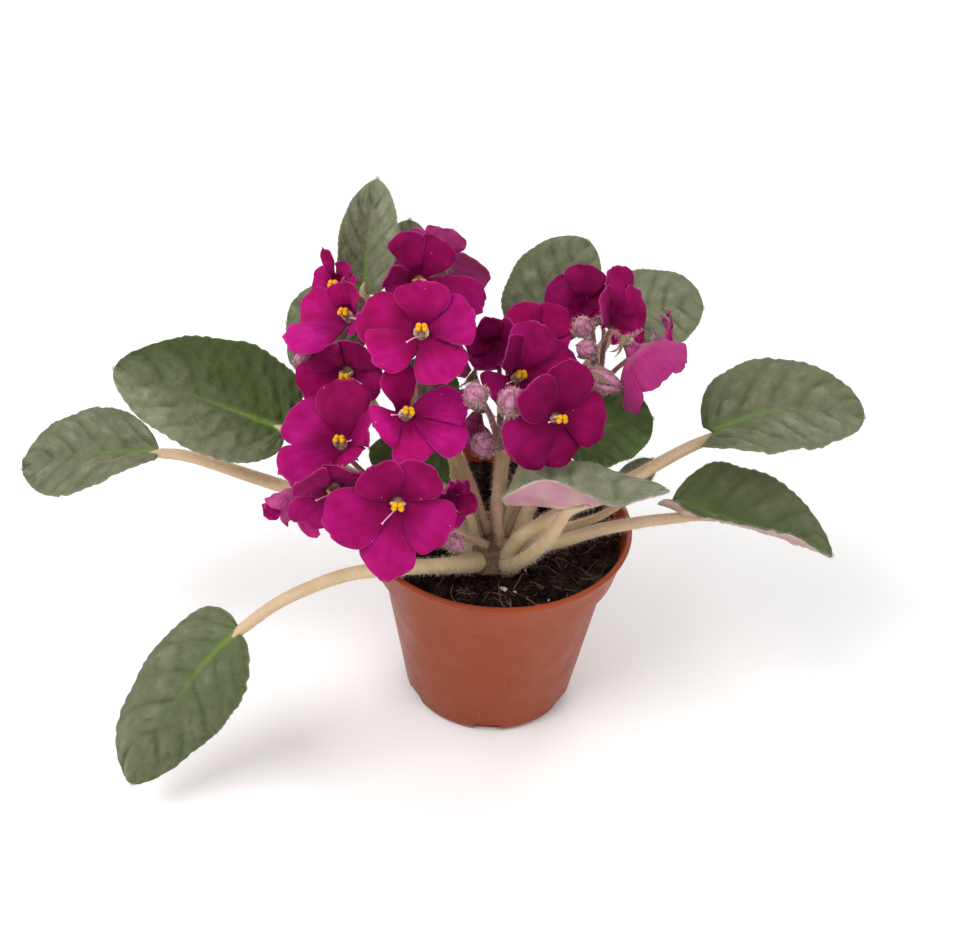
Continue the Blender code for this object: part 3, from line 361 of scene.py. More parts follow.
def add_sheet(shape, top, bottom, values, slots):
    """A thin closed sheet between two matching grids, with slots for its top, underside and rim."""
    rows, across = top.shape[:2]
    faces = grid_faces(rows, across)
    shift = rows * across
    number = np.arange(shift).reshape(rows, across)
    border = np.concatenate([number[0], number[1:, -1], number[-1, -2::-1], number[-2:0:-1, 0]])
    after = np.roll(border, -1)
    rim = np.stack([border, shift + border, shift + after, after], -1)
    points = np.concatenate([top.reshape(-1, 3), bottom.reshape(-1, 3)])
    values = {name: np.tile(np.broadcast_to(value, top.shape[:2]).ravel(), 2)
              for name, value in values.items()}
    slot = np.repeat(slots, (len(faces), len(faces), len(rim)))
    shape.add(points, np.concatenate([faces, shift + faces[:, ::-1], rim]), slot, **values)


def add_tube(shape, path, radii, around, slot=0, squash=1.0, flutes=0.0, seed=0, **values):
    """A round stalk along a path, closed at its ends. Returns its skin and outward directions."""
    ahead = headings(path)
    side = unit(np.cross(ahead[0], (0.31, 0.17, 0.93) if abs(ahead[0][2]) < 0.9 else (1.0, 0.2, 0.0)))
    sides = []
    for direction in ahead:
        side = unit(side - direction * (side @ direction))
        sides.append(side)
    sides = np.array(sides)
    up = np.cross(ahead, sides)
    angle = FULL_TURN * np.arange(around) / around
    swell = 1 + flutes * np.sin(3 * angle + seed)[None, :]
    out = np.cos(angle)[None, :, None] * sides[:, None] + squash * np.sin(angle)[None, :, None] * up[:, None]
    skin = path[:, None] + out * (radii[:, None] * swell)[..., None]
    points = np.concatenate([skin.reshape(-1, 3), path[:1], path[-1:]])
    along = np.concatenate([np.repeat(np.linspace(0, 1, len(path)), around), (0, 1)])
    faces = [grid_faces(len(path), around, True), end_caps(len(path), around)]
    shape.add(points, faces, slot, along=along, **values)
    return closed(skin), closed(unit(out))


def add_hairs(shape, roots, directions, look, draw, slot=0, droop=0.5):
    """Fine tapering hairs, each of two bent parts, standing on their roots."""
    count = len(roots)
    size = (look[0] * draw.uniform(0.55, 1.2, count))[:, None]
    sway = unit(draw.normal(size=(count, 3)))
    side = unit(np.cross(directions, draw.normal(size=(count, 3)))) * look[1] / 2
    middle = roots + unit(directions + 0.2 * sway) * size * 0.55
    tip = middle + unit(directions + droop * sway) * size * 0.5
    points = np.stack([roots - side, roots + side, middle + side * 0.7, middle - side * 0.7, tip], 1)
    first = 5 * np.arange(count)[:, None]
    shape.add(points, [first + np.array([[0, 1, 2, 3]]), first + np.array([[3, 2, 4]])], slot,
              along=np.tile((0.0, 0.0, 0.55, 0.55, 1.0), count))


def cell_areas(points):
    """The area of each cell of a grid of points."""
    return np.linalg.norm(np.cross(np.diff(points, axis=0)[:, :-1], np.diff(points, axis=1)[:-1]), axis=-1)


def grow_hairs(shape, points, outward, count, look, draw):
    """Hairs of a look (length and width) at random places on a grid of points, each along the direction
    given for its place."""
    area = cell_areas(points)
    share = np.cumsum(area.ravel())
    cell = np.searchsorted(share, draw.uniform(0, share[-1], count))
    row, column = np.divmod(np.minimum(cell, area.size - 1), area.shape[1])
    s, t = draw.uniform(size=(2, count, 1))
    roots = ((1 - s) * (1 - t) * points[row, column] + s * (1 - t) * points[row + 1, column]
             + (1 - s) * t * points[row, column + 1] + s * t * points[row + 1, column + 1])
    add_hairs(shape, roots, unit(outward[row, column]), look, draw)


def add_stem(shape, hairs, path, radii, around, density, look, draw, lean=0.0, **tube):
    """A hairy stalk along a path. Its hairs lean forward by the share."""
    skin, outward = add_tube(shape, path, radii, around, **tube)
    length = np.linalg.norm(np.diff(path, axis=0), axis=1).sum()
    grow_hairs(hairs, skin, outward + lean * headings(path)[:, None], int(length * density), look, draw)


class Shade:
    """A procedural material, built node by node. Colours are laid over its body through masks."""

    def __init__(self, name, roughness, specular=0.5, sheen=None, **sockets):
        """The sheen is its weight, its roughness and the three parts of its tint."""
        self.material = bpy.data.materials.new(name)
        self.material.use_nodes = True
        self.tree = self.material.node_tree
        self.shader = self.tree.nodes["Principled BSDF"]
        self.place = self.node("ShaderNodeTexCoord").outputs["Object"]
        self.body = None
        sockets.update(Roughness=roughness, Specular_IOR_Level=specular)
        if sheen:
            sockets.update(Sheen_Weight=sheen[0], Sheen_Roughness=sheen[1], Sheen_Tint=(*sheen[2:], 1.0))
        for socket, value in sockets.items():
            self.shader.inputs[socket.replace("_", " ")].default_value = value

    def node(self, kind, inputs=None, **settings):
        """A node with its settings and its inputs, each a value or another node's output."""
        node = self.tree.nodes.new(kind)
        for key, value in settings.items():
            setattr(node, key, value)
        for key, value in (inputs or {}).items():
            self.feed(node.inputs[key], value)
        return node

    def feed(self, socket, value):
        """Put a value or another node's output into a socket."""
        if isinstance(value, bpy.types.NodeSocket):
            self.tree.links.new(value, socket)
        else:
            socket.default_value = value

    def value(self, name, share=1.0):
        """A named value of the mesh, or a share of it."""
        value = self.node("ShaderNodeAttribute", attribute_name=name).outputs["Fac"]
        return value if share == 1.0 else self.times(value, share)

    def times(self, first, second):
        """Two values multiplied."""
        return self.node("ShaderNodeMath", {0: first, 1: second}, operation="MULTIPLY").outputs[0]

    def noise(self, size, detail=2.0, roughness=0.5, stretch=None):
        """Clouds of about the size in millimetres."""
        place = self.place
        if stretch:
            place = self.node("ShaderNodeMapping", {"Vector": place, "Scale": stretch}).outputs[0]
        inputs = {"Vector": place, "Scale": 1 / (size * MM), "Detail": detail, "Roughness": roughness}
        return self.node("ShaderNodeTexNoise", inputs).outputs["Fac"]

    def cells(self, size):
        """The distance to the nearest of scattered points about the size apart, in shares of it."""
        inputs = {"Vector": self.place, "Scale": 1 / (size * MM)}
        return self.node("ShaderNodeTexVoronoi", inputs).outputs["Distance"]

    def spread(self, value, low, high, to_low=0.0, to_high=1.0):
        """The value's range from low to high, spread over another."""
        inputs = {"Value": value, "From Min": low, "From Max": high, "To Min": to_low, "To Max": to_high}
        return self.node("ShaderNodeMapRange", inputs).outputs["Result"]

    def clouds(self, size, detail, low=0.3, high=0.7, to_low=0.0, to_high=1.0, **more):
        """Clouds with their range from low to high spread over another."""
        return self.spread(self.noise(size, detail, **more), low, high, to_low, to_high)

    def dots(self, size, low, high, share):
        """Dots about the size apart, as strong as the share up to low and gone from high."""
        return self.spread(self.cells(size), low, high, share, 0.0)

    def mix(self, share, first, second):
        """Two colours mixed."""
        inputs = {0: share, 6: first, 7: second}
        inputs = {key: (*item, 1.0) if isinstance(item, tuple) else item for key, item in inputs.items()}
        return self.node("ShaderNodeMix", inputs, data_type="RGBA").outputs[2]

    def lay(self, mask, colour):
        """Lay a colour over the body, as far as the mask is strong."""
        self.body = self.mix(mask, self.body, colour)

    def finish(self, *relief, rough=None):
        """The material with its body, roughness and relief of (height, depth in millimetres) pairs."""
        self.feed(self.shader.inputs["Base Color"], self.body)
        if rough is not None:
            self.feed(self.shader.inputs["Roughness"], rough)
        normal = None
        for height, depth in relief:
            inputs = {"Height": height, "Distance": depth * MM, "Strength": 1.0}
            if normal is not None:
                inputs["Normal"] = normal
            normal = self.node("ShaderNodeBump", inputs).outputs["Normal"]
        if normal is not None:
            self.feed(self.shader.inputs["Normal"], normal)
        return self.material


def pot_material():
    """Matt terracotta-coloured plastic with faint flow marks, dust and scuffs, its colour painted darker
    towards its foot as shade.
    """
    shade = Shade("pot_plastic", 0.42, 0.28, IOR=1.46)
    # Painted shade: the colour darkens from the lip down to the foot.
    height = shade.node("ShaderNodeSeparateXYZ", {0: shade.place}).outputs[2]
    rise = shade.spread(height, 0.0, POT_HEIGHT * MM)
    shade.body = shade.mix(rise, (0.204, 0.027, 0.003), (0.290, 0.046, 0.008))
    shade.lay(shade.clouds(22, 3, 0.35), (0.246, 0.037, 0.006))
    shade.lay(shade.clouds(5, 5, 0.56, 0.8, 0.0, 0.14, roughness=0.7), (0.40, 0.15, 0.10))
    scuff = shade.clouds(1.5, 3, 0.66, 0.76, 0.0, 0.25, roughness=0.6, stretch=(1.0, 1.0, 0.12))
    shade.lay(scuff, (0.50, 0.22, 0.15))
    rough = shade.clouds(9, 4, 0.3, 0.75, 0.34, 0.52, roughness=0.6)
    return shade.finish((shade.noise(14, 2), 0.10), (shade.noise(0.9, 3), 0.02), rough=rough)


def soil_material():
    """Damp dark peat with brown crumbs, its hollows painted almost black as shade."""
    shade = Shade("potting_soil", 0.95, 0.12)
    grain = shade.noise(1.6, 6, 0.75)
    # Painted shade: the low places of the grain, which are also the hollows of its bumps, are laid almost
    # black.
    shade.body = shade.mix(shade.spread(grain, 0.42, 0.7), (0.004, 0.002, 0.0015), (0.044, 0.019, 0.011))
    shade.lay(shade.clouds(6, 3, 0.48, 0.72), (0.038, 0.020, 0.013))
    shade.lay(shade.dots(2.2, 0.0, 0.13, 0.6), (0.125, 0.068, 0.042))
    rough = shade.spread(grain, 0.3, 0.7, 0.95, 0.6)
    return shade.finish((grain, 0.9), (shade.noise(0.5, 4), 0.25), rough=rough)


def fibre_material():
    """Dry brown root and peat fibres, from dark to straw, each with its own tone."""
    shade = Shade("peat_fibre", 0.8)
    shade.body = shade.mix(shade.value("tone"), (0.045, 0.022, 0.013), (0.27, 0.16, 0.095))
    shade.lay(shade.clouds(1.0, 3, 0.4, 0.7, 0.0, 0.6), (0.11, 0.06, 0.04))
    return shade.finish()


def perlite_material():
    """Chalky white perlite grains, stained by the peat."""
    shade = Shade("perlite", 0.85)
    stain = shade.clouds(0.8, 4, 0.45, 0.75, roughness=0.7)
    shade.body = shade.mix(stain, (0.66, 0.63, 0.56), (0.28, 0.21, 0.15))
    return shade.finish((shade.noise(0.4, 3), 0.15))


def leaf_material():
    """The upper face of a leaf: quilted grey-green, bright beside the rib, bloomed by fine hairs, with
    painted shade in its quilt hollows and vein grooves and painted light on its quilt tops.
    """
    shade = Shade("leaf_upper", 0.6, 0.16, (0.06, 0.4, 0.85, 0.88, 0.78), IOR=1.42)
    fresh, quilt = shade.value("fresh"), shade.value("quilt")
    # Painted shade and light: dark in the hollows between the quilts, light on their tops.
    dark = shade.mix(fresh, (0.034, 0.043, 0.012), (0.036, 0.075, 0.010))
    light = shade.mix(fresh, (0.088, 0.100, 0.042), (0.085, 0.150, 0.030))
    shade.body = shade.mix(shade.spread(quilt, 0.0, 1.0, 0.15, 0.8), dark, light)
    between = shade.mix(fresh, (0.055, 0.062, 0.022), (0.055, 0.105, 0.016))
    shade.lay(shade.clouds(9, 3, 0.32, 0.7, 0.0, 0.45), between)
    dusty = shade.clouds(3.5, 4, 0.3, 0.75, 0.55, 1.0, roughness=0.65)
    # The bloom is painted weaker in the quilt hollows, as shade.
    dusty = shade.times(dusty, shade.spread(quilt, 0.0, 0.8, 0.62, 1.0))
    # The bloom's grey: partly fine hairs, partly painted light.
    shade.lay(shade.times(shade.value("bloom"), dusty), (0.245, 0.250, 0.165))
    # Painted shade along the sunken vein grooves.
    vein_groove_shade = shade.mix(fresh, (0.034, 0.042, 0.013), (0.036, 0.078, 0.010))
    shade.lay(shade.value("vein", 0.60), vein_groove_shade)
    shade.lay(shade.value("rib", 0.85), (0.140, 0.225, 0.045))
    shade.lay(shade.spread(shade.value("side"), 0.97, 1.0, 0.0, 0.5), (0.24, 0.26, 0.16))
    shade.lay(shade.dots(5.5, 0.02, 0.05, 0.55), (0.30, 0.32, 0.24))
    return shade.finish((shade.noise(2.4, 4, 0.6), 0.36), (shade.cells(2.1), 0.16), (shade.cells(0.8), 0.10),
                        rough=shade.clouds(2.5, 3, 0.3, 0.7, 0.46, 0.66))


def underleaf_material():
    """The underside of a leaf: pale pink-mauve with greenish veins."""
    shade = Shade("leaf_underside", 0.62, 0.2, (0.08, 0.45, 0.95, 0.88, 0.86))
    patch = shade.clouds(8, 3)
    pale = shade.mix(patch, (0.52, 0.42, 0.34), (0.44, 0.37, 0.27))
    pink = shade.mix(patch, (0.54, 0.255, 0.325), (0.49, 0.23, 0.28))
    shade.body = shade.mix(shade.value("blush"), pale, pink)
    shade.lay(shade.value("vein", 0.55), (0.55, 0.42, 0.33))
    shade.lay(shade.value("rib", 0.8), (0.56, 0.42, 0.27))
    shade.lay(shade.spread(shade.value("side"), 0.93, 1.0, 0.0, 0.7), (0.62, 0.52, 0.42))
    return shade.finish((shade.noise(1.6, 4, 0.6), 0.2), (shade.cells(0.7), 0.06))


def stalk_material():
    """A fleshy leaf stalk: tan and pink, mottled, pinker towards its leaf."""
    shade = Shade("leaf_stalk", 0.5, 0.3, (0.1, 0.4, 1.0, 0.93, 0.86), IOR=1.42, Subsurface_Weight=0.12,
                  Subsurface_Scale=0.004)
    shade.body = shade.mix(shade.clouds(7, 4, 0.3, 0.72), (0.53, 0.405, 0.205), (0.70, 0.56, 0.37))
    shade.lay(shade.clouds(1.6, 4, 0.35, 0.7, 0.0, 0.5, roughness=0.65), (0.43, 0.315, 0.165))
    shade.lay(shade.spread(shade.value("along"), 0.15, 0.8, 0.0, 0.70), (0.56, 0.39, 0.265))
    shade.lay(shade.clouds(12, 2, 0.5, 0.75, 0.0, 0.55), (0.50, 0.42, 0.22))
    shade.lay(shade.dots(2.6, 0.03, 0.09, 0.6), (0.28, 0.13, 0.09))
    return shade.finish((shade.noise(3, 3), 0.22), (shade.noise(0.5, 3), 0.05),
                        rough=shade.clouds(2, 3, 0.3, 0.7, 0.42, 0.62))


def crown_material():
    """The old short stem: brown-green and scarred where leaves have gone."""
    shade = Shade("crown", 0.75)
    bark = shade.clouds(3.5, 5, 0.35, roughness=0.65)
    shade.body = shade.mix(bark, (0.10, 0.055, 0.032), (0.30, 0.20, 0.11))
    shade.lay(shade.dots(4.0, 0.02, 0.25, 0.6), (0.06, 0.032, 0.02))
    return shade.finish((shade.noise(2.5, 4), 0.7))


def along_material(name, roughness, root, tip):
    """A plain material for hairs and styles, from their root's colour to their tip's."""
    shade = Shade(name, roughness)
    shade.body = shade.mix(shade.value("along"), root, tip)
    return shade.finish()


def petal_material():
    """The velvety front of a petal: deep magenta, darker at the throat, with a fine pale edge, painted light
    and shade by the way it points, and painted glints.
    """
    shade = Shade("petal_front", 0.7, 0.04, (0.16, 0.35, 1.0, 0.14, 0.72))
    patch = shade.clouds(6, 3)
    crimson = shade.mix(patch, (0.265, 0.0008, 0.052), (0.370, 0.002, 0.098))
    purple = shade.mix(patch, (0.350, 0.003, 0.130), (0.490, 0.011, 0.226))
    bright = shade.mix(patch, (0.410, 0.004, 0.118), (0.545, 0.011, 0.228))
    deep_tone_and_shade = shade.mix(patch, (0.140, 0.001, 0.036), (0.245, 0.002, 0.080))
    old = shade.mix(patch, (0.090, 0.004, 0.030), (0.190, 0.010, 0.080))
    shade.body = shade.mix(shade.value("cast"), crimson, purple)
    # Painted light: petals that point down are laid brighter.
    shade.lay(shade.value("glow", 0.8), bright)
    # Partly the flower's own deep tone, partly painted shade on petals that point up.
    shade.lay(shade.value("deep"), deep_tone_and_shade)
    shade.lay(shade.value("age"), old)
    shade.lay(shade.spread(shade.value("along"), 0.04, 0.55, 0.85, 0.0), (0.110, 0.0004, 0.030))
    shade.lay(shade.value("streak", 0.45), (0.16, 0.001, 0.048))
    shade.lay(shade.spread(shade.value("rim"), 0.95, 1.0, 0.0, 0.3), (0.60, 0.08, 0.34))
    shade.lay(shade.dots(0.55, 0.0, 0.25, 0.22), (0.55, 0.015, 0.26))
    # Painted glints: sparse pale dots where the velvet sparkles.
    shade.lay(shade.dots(4.6, 0.018, 0.04, 0.8), (0.85, 0.45, 0.70))
    return shade.finish((shade.noise(1.8, 3), 0.16), (shade.cells(0.45), 0.05),
                        rough=shade.spread(shade.value("side"), 0.0, 1.0, 0.66, 0.56))


def petal_back_material():
    """The back of a petal: lilac-pink, streaked from its foot, paler on some flowers."""
    shade = Shade("petal_back", 0.65, 0.08, (0.1, 0.4, 1.0, 0.6, 0.9))
    patch = shade.clouds(5, 4)
    deep = shade.mix(patch, (0.360, 0.006, 0.120), (0.420, 0.020, 0.180))
    pale = shade.mix(patch, (0.430, 0.075, 0.250), (0.530, 0.160, 0.350))
    shade.body = shade.mix(shade.value("pale"), deep, pale)
    shade.lay(shade.value("age", 0.55), (0.20, 0.02, 0.10))
    shade.lay(shade.value("streak", 0.7), (0.27, 0.012, 0.11))
    shade.lay(shade.spread(shade.value("along"), 0.0, 0.25, 0.5, 0.0), (0.50, 0.20, 0.30))
    return shade.finish((shade.noise(1.6, 3), 0.14))


def throat_material():
    """The throat of a flower: wine-dark at its rim and, in an open one, pale at its bottom; in a shut one
    its bottom is painted dark wine as shade.
    """
    shade = Shade("flower_throat", 0.7, 0.06)
    # Painted shade: in a shut flower the throat's bottom is laid dark wine instead of pale.
    glow = shade.mix(shade.value("shut"), (0.50, 0.42, 0.26), (0.070, 0.0006, 0.022))
    shade.body = shade.mix(shade.spread(shade.value("along"), 0.10, 0.62), glow, (0.140, 0.001, 0.044))
    shade.lay(shade.clouds(0.8, 2, 0.5, 0.8, 0.0, 0.3), (0.24, 0.012, 0.075))
    return shade.finish((shade.noise(0.7, 2), 0.1))


def anther_material():
    """Powdery yellow anthers with an orange blush in their seam."""
    shade = Shade("anther", 0.6, 0.2)
    shade.body = shade.mix(shade.clouds(1.1, 3, 0.35), (0.70, 0.33, 0.002), (0.82, 0.48, 0.006))
    shade.lay(shade.value("seam"), (0.50, 0.16, 0.004))
    return shade.finish((shade.cells(0.22), 0.06))


def filament_material():
    """Cream filaments, flushed pink-brown in places."""
    shade = Shade("filament", 0.5)
    shade.body = shade.mix(shade.clouds(0.9, 2, 0.45), (0.74, 0.62, 0.42), (0.55, 0.28, 0.20))
    return shade.finish()


def flower_stalk_material():
    """Red-brown flower stalks, greener and more tan on the thick main stalk."""
    shade = Shade("flower_stalk", 0.6, 0.25, (0.1, 0.4, 1.0, 0.85, 0.8))
    patch = shade.clouds(3, 4)
    thin = shade.mix(patch, (0.20, 0.055, 0.055), (0.33, 0.13, 0.12))
    thick = shade.mix(patch, (0.38, 0.24, 0.14), (0.48, 0.31, 0.20))
    shade.body = shade.mix(shade.value("stout"), thin, thick)
    return shade.finish((shade.noise(1.2, 3), 0.12))


def sepal_material():
    """Narrow hairy sepals, brown-green flushed with purple."""
    shade = Shade("sepal", 0.65, 0.2, (0.1, 0.4, 0.95, 0.85, 0.85))
    shade.body = shade.mix(shade.clouds(2.2, 4, 0.3, 0.72), (0.16, 0.085, 0.065), (0.24, 0.17, 0.10))
    shade.lay(shade.spread(shade.value("along"), 0.3, 1.0, 0.0, 0.6), (0.34, 0.13, 0.18))
    return shade.finish((shade.noise(0.9, 3), 0.12))


def bud_material():
    """A bud's furled petals: dusty pink with darker folds."""
    shade = Shade("bud", 0.65, 0.2, (0.15, 0.4, 1.0, 0.85, 0.92))
    patch = shade.clouds(1.6, 4, 0.35, 0.68, roughness=0.6)
    shade.body = shade.mix(patch, (0.30, 0.085, 0.16), (0.56, 0.27, 0.37))
    shade.lay(shade.value("fold"), (0.16, 0.03, 0.07))
    return shade.finish((shade.noise(1.0, 3), 0.2))


def build_pot():
    """The pot as the photograph shows it: rolled lip, deep collar with its step line, drain slots."""
    base, body, collar, rim = POT_BASE_RADIUS, POT_BODY_TOP_RADIUS, POT_COLLAR_FOOT_RADIUS, POT_RIM_RADIUS
    foot, top = COLLAR_FOOT, POT_HEIGHT
    slope = (rim - 0.8 - collar) / (POT_COLLAR_HEIGHT - 2.5)
    profile = rounded([
        (0.02, 0.6), (base - 6.0, 0.6), (base - 5.0, 0.0), (base - 2.5, 0.0), (base - 0.7, 0.8),
        (base + 0.1, 2.6), (body, foot), (collar - 0.4, foot), (collar + 0.1, foot + 0.6),
        (collar + slope * 2.4, foot + 3.0), (rim - 1.0, top - 2.3), (rim - 0.1, top - 1.5), (rim, top - 0.6),
        (rim - 0.4, top), (rim - 1.5, top), (rim - 2.0, top - 0.6),
        (collar - POT_WALL, foot + POT_WALL + 0.4), (body - POT_WALL, foot + POT_WALL),
        (base + 0.1 - POT_WALL, POT_FLOOR + 1.4), (base - 2.4, POT_FLOOR), (0.02, POT_FLOOR),
    ], POT_CORNER, 3)
    rows = len(profile)
    points = turned_grid(profile, POT_SIDES).reshape(-1, 3)
    ends = [(0, 0, profile[0][1]), (0, 0, profile[-1][1])]
    shape = Shape()
    shape.add(np.concatenate([points, ends]), [grid_faces(rows, POT_SIDES, True), end_caps(rows, POT_SIDES)])
    pot = shape.build("pot_shell", [pot_material()], ["pot"], "pot_plastic")
    for k in range(DRAIN_SLOTS):
        cut_slot(pot, FULL_TURN * (k + 0.5) / DRAIN_SLOTS)
    pot.data.set_sharp_from_angle(angle=math.radians(POT_SHARP_ANGLE))


def cut_slot(pot, angle):
    """Cut one drain slot, narrower at its top, through the pot's foot."""
    deep, wide, high = DRAIN_SIZE
    ring = np.array([(-deep, -wide), (deep, -wide), (deep, wide), (-deep, wide)]) / 2
    levels = [(-1.0, 1.0), (high - 2.0, 1.0), (high - 1.0, 0.75)]
    points = np.array([(POT_BASE_RADIUS + x, y * width, level) for level, width in levels for x, y in ring])
    shape = Shape()
    faces = np.concatenate([grid_faces(3, 4, True), [(3, 2, 1, 0), (8, 9, 10, 11)]])
    shape.add(points @ turn_upright(angle), faces)
    cutter = shape.build("slot_cutter", [pot.data.materials[0]])
    cut = pot.modifiers.new("Slot", "BOOLEAN")
    cut.operation = "DIFFERENCE"
    cut.solver = "EXACT"
    cut.object = cutter
    graph = bpy.context.evaluated_depsgraph_get()
    mesh = bpy.data.meshes.new_from_object(pot.evaluated_get(graph))
    pot.modifiers.clear()
    pot.data = mesh
    bpy.data.objects.remove(cutter, do_unlink=True)


# How far the soil's top reaches from the middle of the pot.
SOIL_EDGE = (POT_COLLAR_FOOT_RADIUS
             + (POT_RIM_RADIUS - POT_COLLAR_FOOT_RADIUS) / POT_COLLAR_HEIGHT * (SOIL_TOP - COLLAR_FOOT)
             - POT_WALL - GAP - 0.4)


def soil_height(x, y):
    """The height of the soil's uneven top, which dips towards the crown."""
    place = np.stack([x, y, np.zeros_like(x)], -1)
    away = np.hypot(x, y - CROWN_CENTRE[1] * 0.6)
    dip = smooth(1 - (away - CROWN_RADIUS) / (SOIL_EDGE - CROWN_RADIUS))
    mounds, clods, crumbs = ripple(place, 17, 1, 2), ripple(place, 5.0, 2, 3), ripple(place, 2.1, 3, 2)
    return SOIL_TOP - SOIL_DIP * dip - 0.5 + (mounds * 1.1 + clods * 0.75 + np.abs(crumbs) * 0.7)


def soil_place(draw, reach, nearest):
    """A random place on the soil's top within the reach."""
    away = reach * math.sqrt(draw.uniform(nearest, 1))
    bearing = draw.uniform(0, FULL_TURN)
    x, y = away * math.cos(bearing), away * math.sin(bearing)
    return np.array((x, y, soil_height(np.array(x), np.array(y))))


def build_soil():
    """Peat with crumbs, and a few perlite grains and many root fibres in it."""
    collar_foot = COLLAR_FOOT + POT_WALL + GAP
    side = [
        (0.02, POT_FLOOR + GAP), (POT_BASE_RADIUS - 3.2, POT_FLOOR + GAP),
        (POT_BASE_RADIUS - POT_WALL - GAP, POT_FLOOR + 2.2),
        (POT_BODY_TOP_RADIUS - POT_WALL - GAP - 0.1, collar_foot),
        (POT_COLLAR_FOOT_RADIUS - POT_WALL - GAP - 0.2, collar_foot + 0.6), (SOIL_EDGE, SOIL_TOP - 1.4),
    ]
    radius = SOIL_EDGE * (1 - (np.linspace(0, 1, SOIL_RINGS) ** 1.25)) + 0.05
    top = turned_grid(np.stack([radius, radius], 1), SOIL_ROUND)
    top[..., 2] = soil_height(top[..., 0], top[..., 1])
    draw = np.random.default_rng(SOIL_SEED)
    shape, grains, fibres = Shape(), Shape(), Shape()
    shape.add_round(np.concatenate([turned_grid(side, SOIL_ROUND), top]))
    add_crumbs(shape, draw, CRUMBS, CRUMB_SIZES)
    shape.build("soil_surface", [soil_material()], ["soil"], "potting_soil")
    add_crumbs(grains, draw, PERLITE, PERLITE_SIZES)
    grains.build("perlite_grains", [perlite_material()], (), "potting_soil")
    for _ in range(FIBRES):
        add_fibre(fibres, draw)
    fibres.build("peat_fibres", [fibre_material()], (), "potting_soil")


def add_crumbs(shape, draw, count, sizes):
    """Small rough lumps that lie in the soil's top."""
    rows, around = 4, 7
    ball = ball_grid(rows, around, 0.15)
    ring = np.arange(around)[None, :]
    faces = [grid_faces(rows, around, True)[:, ::-1], ring, ((rows - 1) * around + ring)[:, ::-1]]
    for _ in range(count):
        place = soil_place(draw, SOIL_EDGE - 0.8, 0.01)
        size = sizes[0] + (sizes[1] - sizes[0]) * draw.uniform() ** 2.2
        lump = ball * (1 + 0.28 * draw.normal(size=(rows, around, 1))) * size * draw.uniform(0.7, 1.2, 3)
        shape.add(lump + (place + (0, 0, size * 0.25)), faces)


def add_fibre(shape, draw):
    """One bent root fibre that follows the soil's top."""
    start = soil_place(draw, SOIL_EDGE * 0.97, 0.02) - (0, 0, 0.2)
    heading = unit(draw.normal(size=3) * (1, 1, 0.35) + (0, 0, 0.1))
    length = draw.uniform(*FIBRE_LENGTHS)
    turn = unit(np.cross(heading, draw.normal(size=3)))
    bend = draw.uniform(0.1, 0.9)
    route = [start + heading * length * s + turn * length * bend * s * s * 0.6 for s in (0, 0.35, 0.7, 1.0)]
    path = curve_through(route, 7)
    flat = np.hypot(path[:, 0], path[:, 1])
    path[:, :2] *= np.minimum(1, (SOIL_EDGE + 0.3) / flat)[:, None]
    ground = soil_height(path[:, 0], path[:, 1])
    path[:, 2] = np.clip(path[:, 2], ground + 0.05, ground + 2.6)
    radii = np.linspace(*FIBRE_RADII, len(path)) * draw.uniform(0.6, 1.5)
    add_tube(shape, path, radii, 4, tone=draw.uniform(0, 1) ** 2)


class Leaf:
    """One leaf: the stalk's points from the crown outward, the rib's base, middle and tip, the way the
    upper face looks at the foot and at the tip, the half width left and right of the rib (seen from the
    foot), how far each half folds up from the rib, in degrees, at the foot and at the tip, how far the
    two lobes beside the stalk reach back, and how pointed the tip is. Swept lobes are full right up to
    the stalk. A hold keeps the foot's fold up to one share of the length and ends it at another."""

    def __init__(self, stalk, rib, face, half, fold, lobe, point=0.0, swept=False, hold=None):
        self.stalk = stalk
        self.base, self.middle, self.tip = np.array(rib, float)
        self.face = unit(face)
        self.half, self.fold, self.lobe = half, fold, lobe
        self.point, self.swept, self.hold = point, swept, hold


